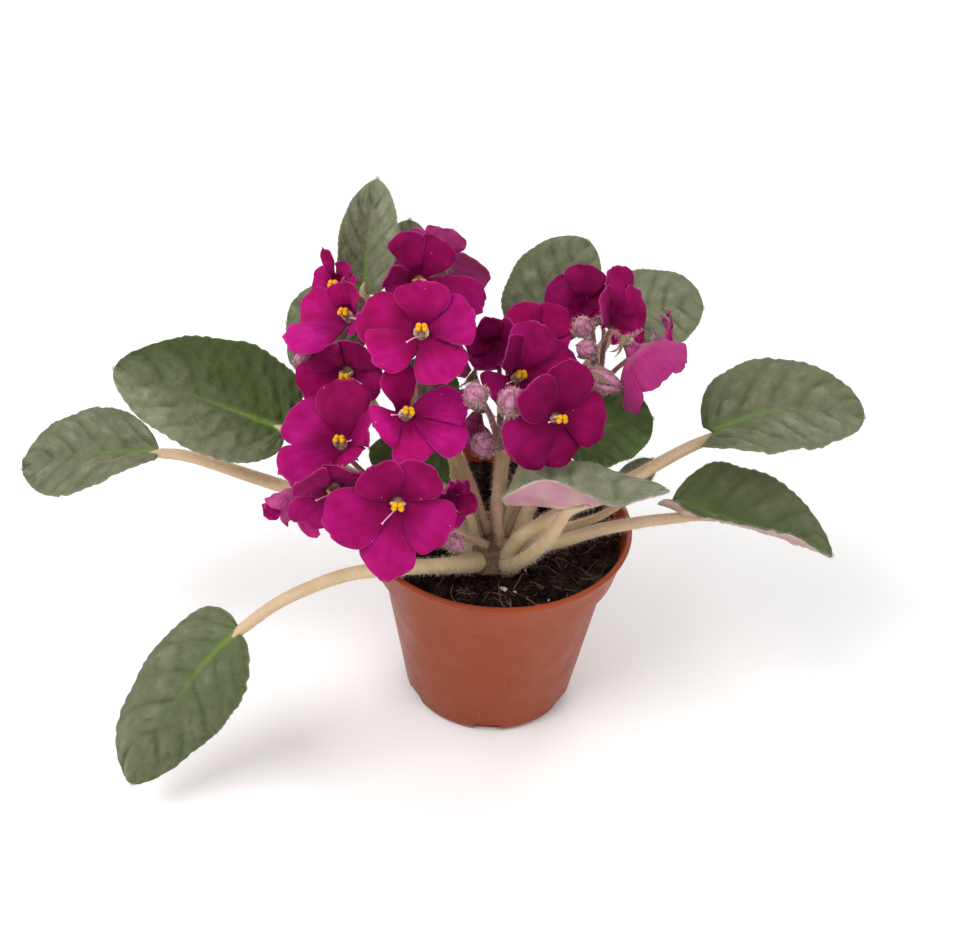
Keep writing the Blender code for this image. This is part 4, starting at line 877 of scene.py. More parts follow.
LEAVES = {
    "01": Leaf([(-35, -8, 74.5), (-70, -6, 84.5), (-90, -2, 88.5), (-104, 3, 88.5)],
               [(-112.7, 5.8, 87.5), (-138.1, 6.5, 84.4), (-158.5, 5.5, 78.3)],
               [(0.07, -0.22, 0.97), (0.16, -0.32, 0.94)], (19.9, 17.6), [(42, 17), (9, 9)], (5.2, -3.5),
               0.39),
    "02": Leaf([(-32, -2, 78), (-52, -4, 92), (-62, -4, 100)],
               [(-69, -3, 105), (-94, 1, 112), (-123, 6, 119)],
               [(0.1, -0.52, 0.85), (0.2, -0.45, 0.87)], (18.0, 23.0), [(6, 10), (4, 4)], (8, 10), 0.25),
    "03": Leaf([(-18, -26, 71), (-31, -33, 75.5), (-44, -38, 76.5), (-56, -43, 75), (-66, -48, 72)],
               [(-77.1, -54.8, 66.2), (-94.5, -61.3, 46), (-110.8, -72.1, 15.2)],
               [(-0.45, -0.47, 0.76), (0.3, -0.91, 0.28)], (16.8, 18.0), [(6, 8), (-6, -29)], (7, 3.7), 0.11),
    "04": Leaf([(-16, 13, 84), (-31, 31, 108), (-43, 34, 127)],
               [(-47, 34, 135), (-46, 43, 151), (-44, 53, 166)],
               [(-0.1, -0.88, 0.45), (0.0, -0.88, 0.45)], (13.0, 14.0), [(46, 44), (46, 42)], (4, 4), 0.7),
    "05": Leaf([(-26, 3, 90), (-40, 9, 104)],
               [(-51, 19, 119), (-61, 26, 124.5), (-72, 31, 124)],
               [(-0.2, -0.6, 0.74), (-0.2, -0.6, 0.74)], (15.0, 17.0), [(4, 4), (4, 4)], (4, 3)),
    "06": Leaf([(-14, 12, 88), (-28, 34, 118)],
               [(-33, 43, 128), (-34, 51, 139), (-34, 60, 149)],
               [(0.0, -0.8, 0.6), (0.0, -0.8, 0.6)], (8.5, 8.5), [(6, 6), (6, 6)], (3, 3)),
    "07": Leaf([(1, 8, 92), (9, 18, 119)],
               [(9.5, 26, 128.5), (15.5, 40, 137.5), (26, 55, 146.5)],
               [(0.14, -0.5, 0.85), (0.14, -0.6, 0.79)], (15.0, 15.5), [(6, 8), (2, 2)], (9, 8), 0.2),
    "08": Leaf([(9, 8, 90), (24, 20, 114)],
               [(35, 30, 127), (49, 40, 131), (66, 49, 127)],
               [(0.1, -0.6, 0.79), (0.2, -0.6, 0.77)], (14.5, 14.5), [(4, 6), (2, 2)], (4, 4)),
    "09": Leaf([(6, -15.5, 74), (14, -15, 82), (32, -8, 89), (47, -2, 95), (60, 3, 101)],
               [(68, 6, 106), (91, 13, 111), (117, 14, 109)],
               [(-0.1, -0.2, 0.98), (0.15, -0.25, 0.95)], (20.0, 20.5), [(20, 20), (14, 8)], (2, 7),
               0.2, True),
    "10": Leaf([(9, -12, 69), (20, -14, 73.5), (33, -14, 79.5), (46, -14, 83.5)],
               [(61.7, -11.4, 86.3), (80.9, -15.8, 85), (105.5, -21.8, 79.8)],
               [(-0.03, -0.1, 0.99), (0.22, 0.08, 0.97)], (22.6, 17.6), [(20, 82), (19, 38)], (6.9, 11.2),
               0.33, True, (-0.09, 0.26)),
    "11": Leaf([(5, -17.5, 66), (12, -22, 75), (16, -26.5, 85), (18.5, -30, 94)],
               [(22.8, -35.4, 105.3), (31.8, -34.9, 106.9), (49.2, -29.2, 107.4)],
               [(-0.24, -0.47, 0.85), (-0.02, 0.06, 1)], (17.9, 18.7), [(-3, 93), (-2, 43)], (25.9, 23.9),
               0.0, True, (0.21, 0.61)),
    "12": Leaf([(10, -6, 80), (15, -6, 96)],
               [(20, -5, 107), (33, -2, 111.5), (47, 2, 112.5)],
               [(-0.1, -0.62, 0.78), (0.1, -0.62, 0.78)], (14.0, 13.0), [(6, 6), (2, 2)], (4, 4)),
    "13": Leaf([(11, -7, 69), (22, -6, 73), (32, -4, 76)],
               [(39, -1, 80), (44, 4, 86), (50, 10, 91)],
               [(-0.4, -0.5, 0.77), (-0.4, -0.5, 0.77)], (6.0, 6.0), [(20, 20), (16, 16)], (1, 1)),
    "14": Leaf([(-9, -7.5, 76), (-15, -8, 83)],
               [(-19, -8, 89), (-29, -5, 95), (-42, -1, 98)],
               [(-0.2, -0.55, 0.8), (-0.2, -0.5, 0.83)], (9.5, 9.5), [(10, 10), (6, 6)], (2, 2)),
    "15": Leaf([(-8, 0, 78), (-17, 7, 95)],
               [(-21, 12, 103), (-25, 19, 109), (-31, 27, 114)],
               [(-0.1, -0.6, 0.79), (-0.1, -0.6, 0.79)], (10.0, 10.0), [(10, 10), (6, 6)], (2, 2)),
}

# How fresh each leaf's green is, from 0 for old and dark to 1 for young and bright, how grey its bloom
# of fine hairs makes it, how much grey is painted on towards its right and its tip as painted light (and
# taken off as painted shade where negative), how pink its underside is, and how strong its relief is.
LEAF_LOOKS = {
    "01": (0.10, 0.92, 0.00, 0.10, 0.60, 1.00), "02": (0.22, 0.32, -0.85, 0.90, 0.45, 1.00),
    "03": (0.28, 0.60, 0.20, 0.20, 0.45, 1.00), "04": (0.15, 1.40, 0.10, 0.20, 0.45, 0.50),
    "05": (0.20, 0.85, 0.00, 0.10, 0.45, 1.00), "06": (0.15, 0.80, 0.00, 0.00, 0.45, 1.00),
    "07": (0.15, 0.72, 0.15, 0.20, 0.45, 0.60), "08": (0.15, 1.05, 0.10, 0.10, 0.45, 0.60),
    "09": (0.15, 0.78, 0.10, 0.25, 0.45, 1.00), "10": (0.30, 0.28, -0.10, 0.25, 0.55, 0.70),
    "11": (0.30, 1.60, 0.00, 0.00, 1.00, 0.35), "12": (0.60, 0.10, 0.10, 0.20, 0.45, 1.00),
    "13": (0.30, 1.00, 0.00, 0.00, 0.45, 0.50), "14": (0.45, 0.05, 0.00, 0.10, 0.45, 1.00),
    "15": (0.35, 0.05, 0.00, 0.10, 0.45, 1.00),
}


def stalk_route(leaf):
    """The stalk's centre line from the crown to under the blade, and its radius along it."""
    ahead = unit(leaf.middle - leaf.base)
    face = leaf.face[0]
    drop = STALK_BELOW_LOBES if leaf.swept else STALK_BELOW
    end = leaf.base - ahead * (STALK_END_GAP + 0.1 * max(leaf.lobe)) - face * drop
    out = (leaf.stalk[0] - CROWN_CENTRE) * (1, 1, 0)
    start = CROWN_CENTRE + unit(out) * STALK_START[0] + (0, 0, STALK_START[1])
    path = curve_through([start, *leaf.stalk, end], STALK_STEPS)
    merge = leaf.base + ahead * (5.0 + drop) - face * 1.0
    lead = bezier(end, end + unit(path[-1] - path[-3]) * 2.0, merge - ahead * 3.0, merge, 7)[1:]
    size = YOUNG_STALK_SCALE if max(leaf.half) < YOUNG_HALF_WIDTH else 1.0
    t = np.linspace(0, 1, len(path))
    radius = STALK_FOOT_RADIUS + (STALK_END_RADIUS - STALK_FOOT_RADIUS) * t + 0.9 * hump(t, 0.12)
    tail = np.linspace(STALK_END_RADIUS, 0.5, len(lead) + 1)[1:]
    return np.concatenate([path, lead]), np.concatenate([radius, tail]) * size


def build_stalks():
    """The crown with every leaf stalk, and the hairs on the stalks."""
    foot = SOIL_TOP - SOIL_HOLE_DEPTH + GAP
    profile = rounded([
        (0.02, foot), (CROWN_RADIUS - 1.5, foot), (CROWN_RADIUS, foot + 3.0),
        (CROWN_RADIUS, SOIL_TOP - SOIL_DIP), (CROWN_RADIUS - 1.0, CROWN_TOP - 3.0),
        (CROWN_RADIUS - 3.5, CROWN_TOP), (0.02, CROWN_TOP),
    ], CROWN_CORNER, 5)
    crown = turned_grid(profile, CROWN_ROUND)
    crown += ripple(crown, 7.0, 5)[..., None] * 0.8 * unit(crown * (1, 1, 0) + (0, 0, 1e-6))
    shape, hairs = Shape(), Shape()
    shape.add_round(crown + CROWN_CENTRE, 1)
    draw = np.random.default_rng(STALK_SEED)
    for index, leaf in enumerate(LEAVES.values()):
        path, radius = stalk_route(leaf)
        sway = [ripple(path, 26, 40 + index, 1), ripple(path, 26, 60 + index, 1), np.zeros(len(path))]
        add_stem(shape, hairs, path + np.stack(sway, -1) * 0.25, radius, STALK_ROUND, STALK_HAIR_DENSITY,
                 STALK_HAIR, draw, 0.35, squash=0.94, flutes=0.035, seed=index)
    materials = [stalk_material(), crown_material()]
    shape.build("crown_and_stalks", materials, ["crown_and_leaf_stalks"], "leaf_stalk")
    hair = along_material("stalk_hair", 0.45, (0.70, 0.56, 0.44), (0.93, 0.88, 0.80))
    hairs.build("stalk_hairs", [hair], (), "leaf_stalk")


def blade_sheet(leaf, seed):
    """A blade's smooth middle sheet: its points and normals, their places t along the rib (0 to 1) and
    u across it (-1 to 1), how far from the rib they are, and the phases of its waves."""
    even = np.linspace(0, 1, BLADE_ROWS)
    t = (0.55 * even + 0.45 * (0.5 - 0.5 * np.cos(math.pi * even)))[:, None]
    u = np.linspace(-1, 1, BLADE_ACROSS)[None, :]
    t, u = t + 0 * u, u + 0 * t
    s = t[..., None]
    pull = 2 * leaf.middle - (leaf.base + leaf.tip) / 2
    point = (1 - s) ** 2 * leaf.base + 2 * s * (1 - s) * pull + s * s * leaf.tip
    ahead = unit(2 * (1 - s) * (pull - leaf.base) + 2 * s * (leaf.tip - pull))
    side = unit(np.cross(ahead, (1 - s) * leaf.face[0] + s * leaf.face[1]))
    normal = np.cross(side, ahead)
    reach = np.where(t < BLADE_WIDEST, BLADE_FOOT_REACH, BLADE_TIP_REACH)
    square = np.maximum(0.0, 1 - ((t - BLADE_WIDEST) / reach) ** 2)
    pointed = np.where(t > BLADE_WIDEST, leaf.point, 0.0)
    outline = (1 - pointed) * np.sqrt(square) + pointed * square
    right, aside, sign = u > 0, np.abs(u), np.sign(u)
    half, lobe, foot_fold, tip_fold = (np.where(right, pair[1], pair[0])
                                       for pair in (leaf.half, leaf.lobe, *leaf.fold))
    if leaf.hold:
        held = 1 - smooth((t - leaf.hold[0]) / (leaf.hold[1] - leaf.hold[0]))
    else:
        held = (1 - t) ** 3
    fold = np.radians(tip_fold + (foot_fold - tip_fold) * held)
    phase = np.random.default_rng(seed).uniform(0, FULL_TURN, 4)
    tooth = np.cos(FULL_TURN * BLADE_TEETH * (t + 0.02 * np.sin(9 * t + phase[2])) + phase[0])
    edge = 1 + BLADE_TOOTH * tooth * aside ** 10
    edge += 0.018 * np.sin(FULL_TURN * 3.3 * t + phase[1] + right * 1.9) * aside ** 3
    width = half * outline * aside * edge
    soft = np.sqrt(width ** 2 + 4.0) - 2.0
    point = point + side * (sign * width * np.cos(fold))[..., None]
    point = point + normal * (soft * np.sin(fold))[..., None]
    back = lobe * aside * (1 - t) ** 2 if leaf.swept else lobe * outline * aside ** 3 * (1 - t) ** 3
    point = point - ahead * back[..., None]
    normal = unit(normal * np.cos(fold)[..., None] - side * (sign * np.sin(fold) * aside)[..., None])
    return point, normal, t, u, width, phase


def blade_grid(leaf, seed, relief):
    """The blade's middle sheet with its normals and named values, veins and quilting included."""
    point, normal, t, u, width, phase = blade_sheet(leaf, seed)
    right, aside = u > 0, np.abs(u)
    warp = 0.10 * ripple(point, 17, seed + 5, 2)
    place = ((t - VEIN_SWEEP * aside ** 1.25 * (1 - 0.35 * t) + 0.04 * right) * VEIN_PAIRS / VEIN_SPAN + 0.15
             + warp + 0.35 * t * t)
    near = np.abs(place - np.round(place))
    apart = near * VEIN_SPAN / VEIN_PAIRS * np.linalg.norm(leaf.tip - leaf.base)
    vein = hump(apart, 1.0) * smooth((1.02 - aside) / 0.25) * (1 - 0.35 * aside)
    vein *= np.clip(0.62 + 0.75 * ripple(point, 12, seed + 11, 2), 0.12, 1.0)
    puckers = 0.62 + 0.38 * np.sin(FULL_TURN * aside * 1.7 + 2.4 * np.round(place) + phase[0] + right * 2.0)
    quilt = np.sin(math.pi * near) ** 0.9 * puckers * smooth(width / 4.5) * smooth((1.05 - aside) / 0.35)
    quilt *= np.clip(0.75 + 0.6 * ripple(point, 13, seed + 13, 2), 0.25, 1.25)
    mature = min(1.0, max(leaf.half) / BLADE_GROWN) * relief
    lift = mature * (QUILT_DEPTH * quilt - VEIN_DEPTH * vein)
    lift -= RIB_DEPTH * mature * hump(width, 1.3) * (1 - 0.7 * t)
    lift += GRAIN_DEPTH * mature * ripple(point, 4.2, seed + 7, 2) * smooth(width / 3.0)
    lift += WARP_DEPTH * ripple(point, 24, seed + 3, 1) * aside
    lift += WAVE_DEPTH * mature * aside ** 3 * np.sin(FULL_TURN * 2.6 * t + phase[2] + right * phase[3])
    point = point + normal * lift[..., None]
    from_base = np.linalg.norm(point - leaf.base, axis=-1)
    rib = hump(width, 0.95 * (1 - t) + 0.2) * smooth((0.80 - t) / 0.70)
    rib += 0.35 * hump(from_base, 4.5) + 0.55 * vein * smooth((0.5 - t) / 0.4) * np.exp(-width / 5.0)
    values = {"vein": vein, "quilt": quilt * (0.62 + 0.38 * ripple(point, 7, seed + 9, 2)),
              "rib": np.clip(rib, 0, 1), "right": u, "ahead": t, "side": aside}
    return point, normal, values, hump(width, 1.5) * (1 - t)


def build_leaf(number, leaf, materials, hair_looks):
    """One leaf blade with its relief, thicker along its keel, and the hairs on it."""
    fresh, bloom, painted_light_to_right, painted_light_to_tip, blush, relief = LEAF_LOOKS[number]
    point, normal, values, keel = blade_grid(leaf, LEAF_SEED + int(number), relief)
    thick = (BLADE_THICKNESS * (1 - 0.6 * values["side"] ** 5) / 2)[..., None]
    under = point - normal * (thick + (BLADE_KEEL * keel + 0.22 * values["vein"])[..., None])
    upper = point + normal * thick
    # Painted light and shade: the bloom's grey is raised or lowered towards one side and towards the tip.
    grey = np.clip(bloom + painted_light_to_right * values["right"] + painted_light_to_tip * (values["ahead"] - 0.5), 0, BLOOM_AND_PAINTED_LIGHT_LIMIT)
    values.update(fresh=fresh, bloom=grey, blush=blush)
    shape, hairs = Shape(), Shape()
    add_sheet(shape, upper, under, values, (0, 1, 0))
    shape.build("leaf_" + number, materials, ["leaf_blade_" + number], "leaf_green")

    draw = np.random.default_rng(LEAF_HAIR_SEED + int(number))
    area = cell_areas(point).sum()
    outward = unit(np.cross(np.gradient(point, axis=1), np.gradient(point, axis=0)))
    tip = headings(point) * 0.5
    grow_hairs(hairs, upper, outward + tip, int(area * LEAF_HAIR_DENSITY * (0.5 + bloom)), LEAF_HAIR, draw)
    grow_hairs(hairs, under, tip - outward, int(area * UNDERLEAF_HAIR_DENSITY), UNDERLEAF_HAIR, draw)
    edges = np.concatenate([point[1:, 0], point[-1, 1:], point[1:-1, -1]])
    inner = np.concatenate([point[1:, 3], point[-4, 1:], point[1:-1, -4]])
    pick = draw.integers(0, len(edges), int(len(edges) * FRINGE_HAIRS))
    roots = edges[pick] + draw.normal(size=(len(pick), 3)) * 0.35
    fringe = unit(edges - inner)[pick] + draw.normal(size=(len(pick), 3)) * 0.35
    add_hairs(hairs, roots, unit(fringe), FRINGE_HAIR, draw, 1)
    hairs.build("leaf_hairs_" + number, hair_looks, (), "leaf_green")


# Petal layouts: for each petal its direction clockwise from the top, length, half width, lean
# towards the viewer, bend of the tip (all seen from the front), cup and place in the layers.
OPEN = [
    (-36, 15.5, 7.4, 18, -14, 0.10, 1.8),
    (36, 15.5, 7.4, 18, -14, 0.10, 0.9),
    (108, 18.5, 8.8, 8, -18, -0.08, 0.0),
    (180, 20.0, 8.6, 2, -22, -0.10, -0.9),
    (-108, 18.5, 8.8, 8, -18, -0.08, 0.0),
]
CUPPED = [
    (-36, 14.0, 6.0, 48, 14, 0.30, 1.6),
    (36, 14.0, 6.0, 48, 14, 0.30, 0.8),
    (108, 15.5, 6.4, 48, 14, 0.30, 0.0),
    (180, 16.0, 6.2, 46, 14, 0.30, -0.8),
    (-108, 15.5, 6.4, 48, 14, 0.30, 0.0),
]
BALLED = [
    (-30, 15.5, 7.0, 58, 40, 0.3, 1.6),
    (42, 15.0, 7.0, 58, 40, 0.3, 0.8),
    (112, 15.0, 7.0, 58, 40, 0.3, 0.0),
    (196, 23.0, 7.6, 16, -24, -0.12, -0.8),
    (-100, 15.5, 7.0, 58, 40, 0.3, 0.0),
]
FLOWER_01 = [
    (-68, 20.0, 9.2, 8, -18, -0.06, -0.9),
    (0, 16.0, 8.0, 18, -14, 0.08, 1.8),
    (69, 16.6, 8.2, 14, -14, 0.08, 0.9),
    (147, 17.5, 8.0, 8, -18, -0.08, 0.0),
    (-125, 17.6, 7.6, 20, -18, -0.06, 0.0),
]
FLOWER_02 = [
    (-20, 16.0, 6.8, 4, -12, 0.1, 1.8),
    (22, 15.0, 7.2, 4, -12, 0.1, 0.9),
    (110, 21.5, 6.8, 10, -16, -0.06, 0.0),
    (-112, 11.0, 6.0, 34, -16, 0.05, -0.9),
    (-58, 17.5, 8.4, 68, -14, 0.1, 0.0),
]
FLOWER_03 = [
    (-80, 17.5, 7.2, 10, -14, 0.06, 0.9),
    (-14, 11.5, 4.8, 48, -14, 0.1, 1.8),
    (42, 15.0, 5.6, 68, -14, 0.1, 0.9),
    (112, 9.5, 5.6, 50, -14, 0.0, 0.0),
    (-137, 22.0, 7.0, 42, -12, -0.04, -0.9),
]
FLOWER_04 = [
    (-15, 13.0, 2.6, 26, -10, 0.20, 1.8),
    (28, 8.5, 3.4, 24, -14, 0.10, 0.9),
    (100, 9.0, 4.2, 50, -16, 0.05, 0.0),
    (180, 9.0, 4.6, 40, -16, 0.0, -0.9),
    (-70, 9.5, 4.6, 12, -14, 0.0, 0.0),
]
FLOWER_05 = [
    (-33, 13.5, 7.6, 26, -16, 0.14, 1.8),
    (30, 14.5, 7.6, 26, -16, 0.14, 0.9),
    (103, 12.0, 7.0, 24, -18, 0.0, 0.0),
    (-171, 11.0, 6.4, 14, -20, -0.08, -0.9),
    (-111, 16.8, 7.6, 20, -20, -0.06, 0.0),
]
FLOWER_06 = [
    (-60, 19.2, 8.2, 10, -16, -0.06, 0.9),
    (-2, 20.0, 8.2, 14, -14, 0.06, 1.8),
    (94, 17.5, 8.8, 63, -14, 0.06, 0.0),
    (132, 11.0, 6.4, 46, -20, -0.06, 0.9),
    (-136, 22.0, 8.6, 30, -18, -0.08, 0.0),
]
FLOWER_07 = [
    (-24, 17.0, 5.8, 38, -14, 0.12, 1.8),
    (80, 19.2, 7.0, 8, -14, -0.06, 0.9),
    (106, 20.5, 7.8, 2, -16, -0.06, 0.0),
    (157, 14.8, 8.0, 2, -20, -0.08, -0.9),
    (-118, 10.5, 6.6, 4, -16, -0.08, 0.0),
]
FLOWER_08 = [
    (-42, 14.0, 7.4, 30, -16, 0.14, 1.8),
    (18, 12.5, 7.0, 24, -16, 0.14, 0.9),
    (92, 11.0, 6.6, 30, -20, 0.05, 0.0),
    (166, 12.0, 6.0, 14, -20, -0.08, -0.9),
    (-150, 16.6, 7.8, 13, -16, -0.06, 0.0),
]
FLOWER_09 = [
    (-33, 15.0, 7.0, 20, -14, 0.10, 1.8),
    (33, 15.4, 7.2, 18, -14, 0.10, 0.9),
    (122, 18.0, 8.2, 8, -16, -0.08, 0.0),
    (187, 24.5, 8.0, 2, -10, -0.10, -0.9),
    (-112, 22.0, 9.2, 6, -16, -0.06, 0.0),
]
FLOWER_11 = [
    (-60, 18.5, 7.8, 22, -14, 0.16, 1.8),
    (4, 18.2, 7.6, 20, -14, 0.1, 0.9),
    (88, 16.8, 8.2, 12, -16, -0.06, 0.0),
    (156, 15.6, 7.2, 4, -20, -0.08, -0.9),
    (-132, 18.5, 9.0, 6, -18, -0.08, 0.0),
]
FLOWER_12 = [
    (-48, 17.0, 6.4, 58, -14, 0.12, 1.8),
    (22, 18.5, 7.6, 24, -14, 0.1, 0.9),
    (72, 22.5, 8.6, 10, -16, -0.06, 0.0),
    (130, 14.0, 7.0, 6, -18, -0.08, -0.9),
    (-122, 12.0, 6.6, 12, -18, -0.08, 0.0),
]
FLOWER_13 = [
    (-60, 14.0, 6.4, 14, -16, 0.08, 0.9),
    (3, 14.0, 7.0, 12, -16, 0.08, 1.8),
    (64, 11.0, 5.6, 20, -16, 0.08, 0.0),
    (130, 7.0, 4.6, 50, -14, 0.08, -0.9),
    (-130, 7.0, 4.6, 50, -14, 0.08, 0.0),
]
FLOWER_14 = [
    (-3, 17.0, 7.2, 10, -14, 0.1, 1.8),
    (40, 13.0, 6.0, 24, -14, 0.1, 0.9),
    (84, 15.0, 7.2, 10, -16, 0.05, 0.0),
    (156, 8.0, 5.0, 44, -14, 0.05, -0.9),
    (-70, 14.0, 7.2, 36, -14, 0.1, 0.0),
]
FLOWER_15 = [
    (-112, 16.5, 8.6, 26, 60, 0.2, -0.8),
    (-58, 18.5, 8.8, 26, 60, 0.2, 0.2),
    (16, 14.0, 7.0, 26, 56, 0.2, 1.2),
    (146, 22.5, 5.6, 26, 56, 0.1, 0.8),
    (-170, 20.5, 8.4, 27, 46, 0.1, -0.2),
]


class Flower:
    """One flower: its spray, centre, azimuth and elevation of the way it faces (azimuth 0 looks to the
    front, 90 to the right), roll, size, petal layout, and for single petals a lean of their own with a
    share of the usual length. The axes are its right, its top and the way it faces."""

    def __init__(self, spray, centre, azimuth, elevation, roll, size, layout, changes=()):
        self.spray, self.centre, self.size = spray, np.array(centre, float), size
        bearing, rise, roll = np.radians((azimuth, elevation, roll))
        level = math.cos(rise)
        facing = np.array((math.sin(bearing) * level, -math.cos(bearing) * level, math.sin(rise)))
        plumb = np.array((0.0, 0.59, 0.81))
        top = unit(plumb - facing * (plumb @ facing))
        top = math.cos(roll) * top + math.sin(roll) * np.cross(top, facing)
        self.axes = np.stack([np.cross(top, facing), top, facing])
        petals = []
        for index, (turn, length, half, lean, *bends) in enumerate(layout):
            lean, share = dict(changes).get(index, (lean, 1.0))
            petals.append((turn, length * share, half, lean, *bends))
        self.petals = sorted(petals, key=lambda petal: petal[0] % 360)

    def place(self, local):
        """Points of the flower's own frame in the plant's frame."""
        return self.centre + np.asarray(local, float) @ self.axes


FLOWERS = {
    "01": Flower("b", (-25.4, -16, 149.6), 5, 60, 0, 1.0, FLOWER_01),
    "02": Flower("b", (-27.8, 12.5, 151.4), 0, 14, 0, 1.0, FLOWER_02),
    "03": Flower("b", (-48.9, 5.8, 141.6), -42, 50, 0, 1.0, FLOWER_03),
    "04": Flower("b", (-53.6, 20.5, 143.8), -30, 34, 0, 1.0, FLOWER_04),
    "05": Flower("b", (-48.9, -0.8, 125.8), -8, 4, 0, 1.0, FLOWER_05),
    "06": Flower("a", (-48.6, -22.6, 114.3), -10, 58, 0, 1.0, FLOWER_06),
    "07": Flower("b", (-29.0, -26.5, 128.4), 30, 52, 0, 1.0, FLOWER_07),
    "08": Flower("a", (-48.0, -44.8, 114.0), 4, -6, 0, 1.0, FLOWER_08),
    "09": Flower("a", (-29.3, -52, 115.4), 4, 20, 0, 1.0, FLOWER_09),
    "10": Flower("a", (-63.8, -28, 97.4), -40, -16, 0, 0.76, BALLED),
    "11": Flower("c", (15, -24, 128), 30, 24, 0, 1.0, FLOWER_11),
    "12": Flower("c", (3.2, -8, 131.2), 36, 48, 0, 1.0, FLOWER_12),
    "13": Flower("d", (23.8, 22.2, 139.6), -16, 30, 0, 0.96, FLOWER_13),
    "14": Flower("d", (32.4, 9.6, 142.9), 50, 30, 0, 0.96, FLOWER_14),
    "15": Flower("d", (38.2, -1.4, 138.4), 72, -40, 0, 1.0, FLOWER_15),
    "16": Flower("d", (51, 15.5, 133), 100, 20, 40, 0.6, OPEN, {3: (2, 0.5)}),
    "17": Flower("c", (-3.6, 8, 131.5), -14, 52, 20, 0.92, CUPPED),
    "18": Flower("a", (-16.0, -26, 98.4), 40, 30, 0, 0.68, CUPPED),
    "19": Flower("c", (-9, -5, 112.4), -30, -60, 0, 0.8, CUPPED),
    "20": Flower("c", (9.4, 10.6, 132.4), 6, 54, 0, 0.9, OPEN, {2: (30, 0.6), 3: (60, 0.5), 4: (8, 0.6)}),
    "21": Flower("b", (-22.6, 29, 149.0), 160, 24, 0, 0.92, OPEN),
    "22": Flower("b", (-14.0, 3.8, 126.4), -110, 30, 0, 0.8, CUPPED),
}

# How aged a flower is, from 0 for fresh to 1 for one that darkens and fades, how pale its back is, and
# how deep the colour of its petals is, partly their own colour and partly painted shade on flowers in shadow.
FLOWER_TONES = {
    "01": (0.0, 0.5, 0.25), "02": (0.1, 0.7, 0.65), "03": (0.0, 0.5, 0.0), "04": (0.1, 0.6, 0.2),
    "05": (0.1, 0.4, 0.55), "06": (0.0, 0.4, 0.3), "07": (0.0, 0.4, 0.0), "08": (0.15, 0.4, 0.6),
    "09": (0.0, 0.4, 0.45), "10": (0.0, 0.45, 0.0), "11": (0.1, 0.6, 0.8), "12": (0.1, 0.4, 0.4),
    "13": (0.3, 0.3, 0.6), "14": (0.1, 0.5, 0.3), "15": (0.70, 0.12, 0.5), "16": (0.2, 0.6, 0.2),
    "17": (0.3, 0.5, 0.5), "18": (0.4, 0.5, 0.2), "19": (0.8, 0.3, 0.6), "20": (0.0, 0.4, 0.15),
    "21": (0.0, 0.3, 0.1), "22": (0.3, 0.6, 0.4),
}

# Each spray: the main stalk's points from the crown to the fork.
SPRAYS = {
    "a": [(-3, -12, 69.2), (-12, -15.5, 76), (-24, -21, 86), (-31, -26, 92)],
    "b": [(-3, -5.5, 69.2), (-10, -1, 88), (-18, 0, 104), (-27, -5, 118)],
    "c": [(1.5, -12, 69.2), (-1, -13.5, 89), (-1, -14, 110)],
    "d": [(3, -6, 69.2), (10, 0, 84), (22, 10, 100), (31, 17.5, 114)],
}

# Each bud: its spray, centre, the way it points, length and width, and the place where its stalk
# leaves a flower's stalk, for one that doesn't leave from the fork.
BUDS = [
    ("d", (22.6, 5, 142.4), (-0.2, -0.4, 0.9), 8.0, 5.6, None),
    ("d", (24, 2, 136.4), (-0.4, -0.7, 0.5), 7.6, 5.8, None),
    ("d", (29.2, -6, 130.4), (0.85, -0.3, -0.2), 12.0, 6.6, None),
    ("c", (1.4, -27, 135.0), (0.1, -0.3, 0.95), 10.0, 7.2, None),
    ("c", (-9, -26, 136.2), (-0.5, -0.3, 0.8), 8.0, 6.2, None),
    ("c", (-6, -19, 114), (-0.5, -0.5, 0.6), 8.0, 7.0, None),
    ("b", (-62.6, 3.5, 126.4), (-0.3, -0.4, 0.84), 7.6, 5.8, (-45, 7, 123.6)),
    ("a", (-13, -27, 82), (0.5, -0.6, 0.3), 6.5, 5.0, None),
]


def half_gaps(petals):
    """Half the angle from each petal to its next neighbour on either side, in radians."""
    turns = [petal[0] % 360 for petal in petals]
    gaps = []
    for turn in turns:
        before = min((turn - other) % 360 for other in turns if other != turn)
        after = min((other - turn) % 360 for other in turns if other != turn)
        gaps.append((math.radians(before / 2), math.radians(after / 2)))
    return gaps


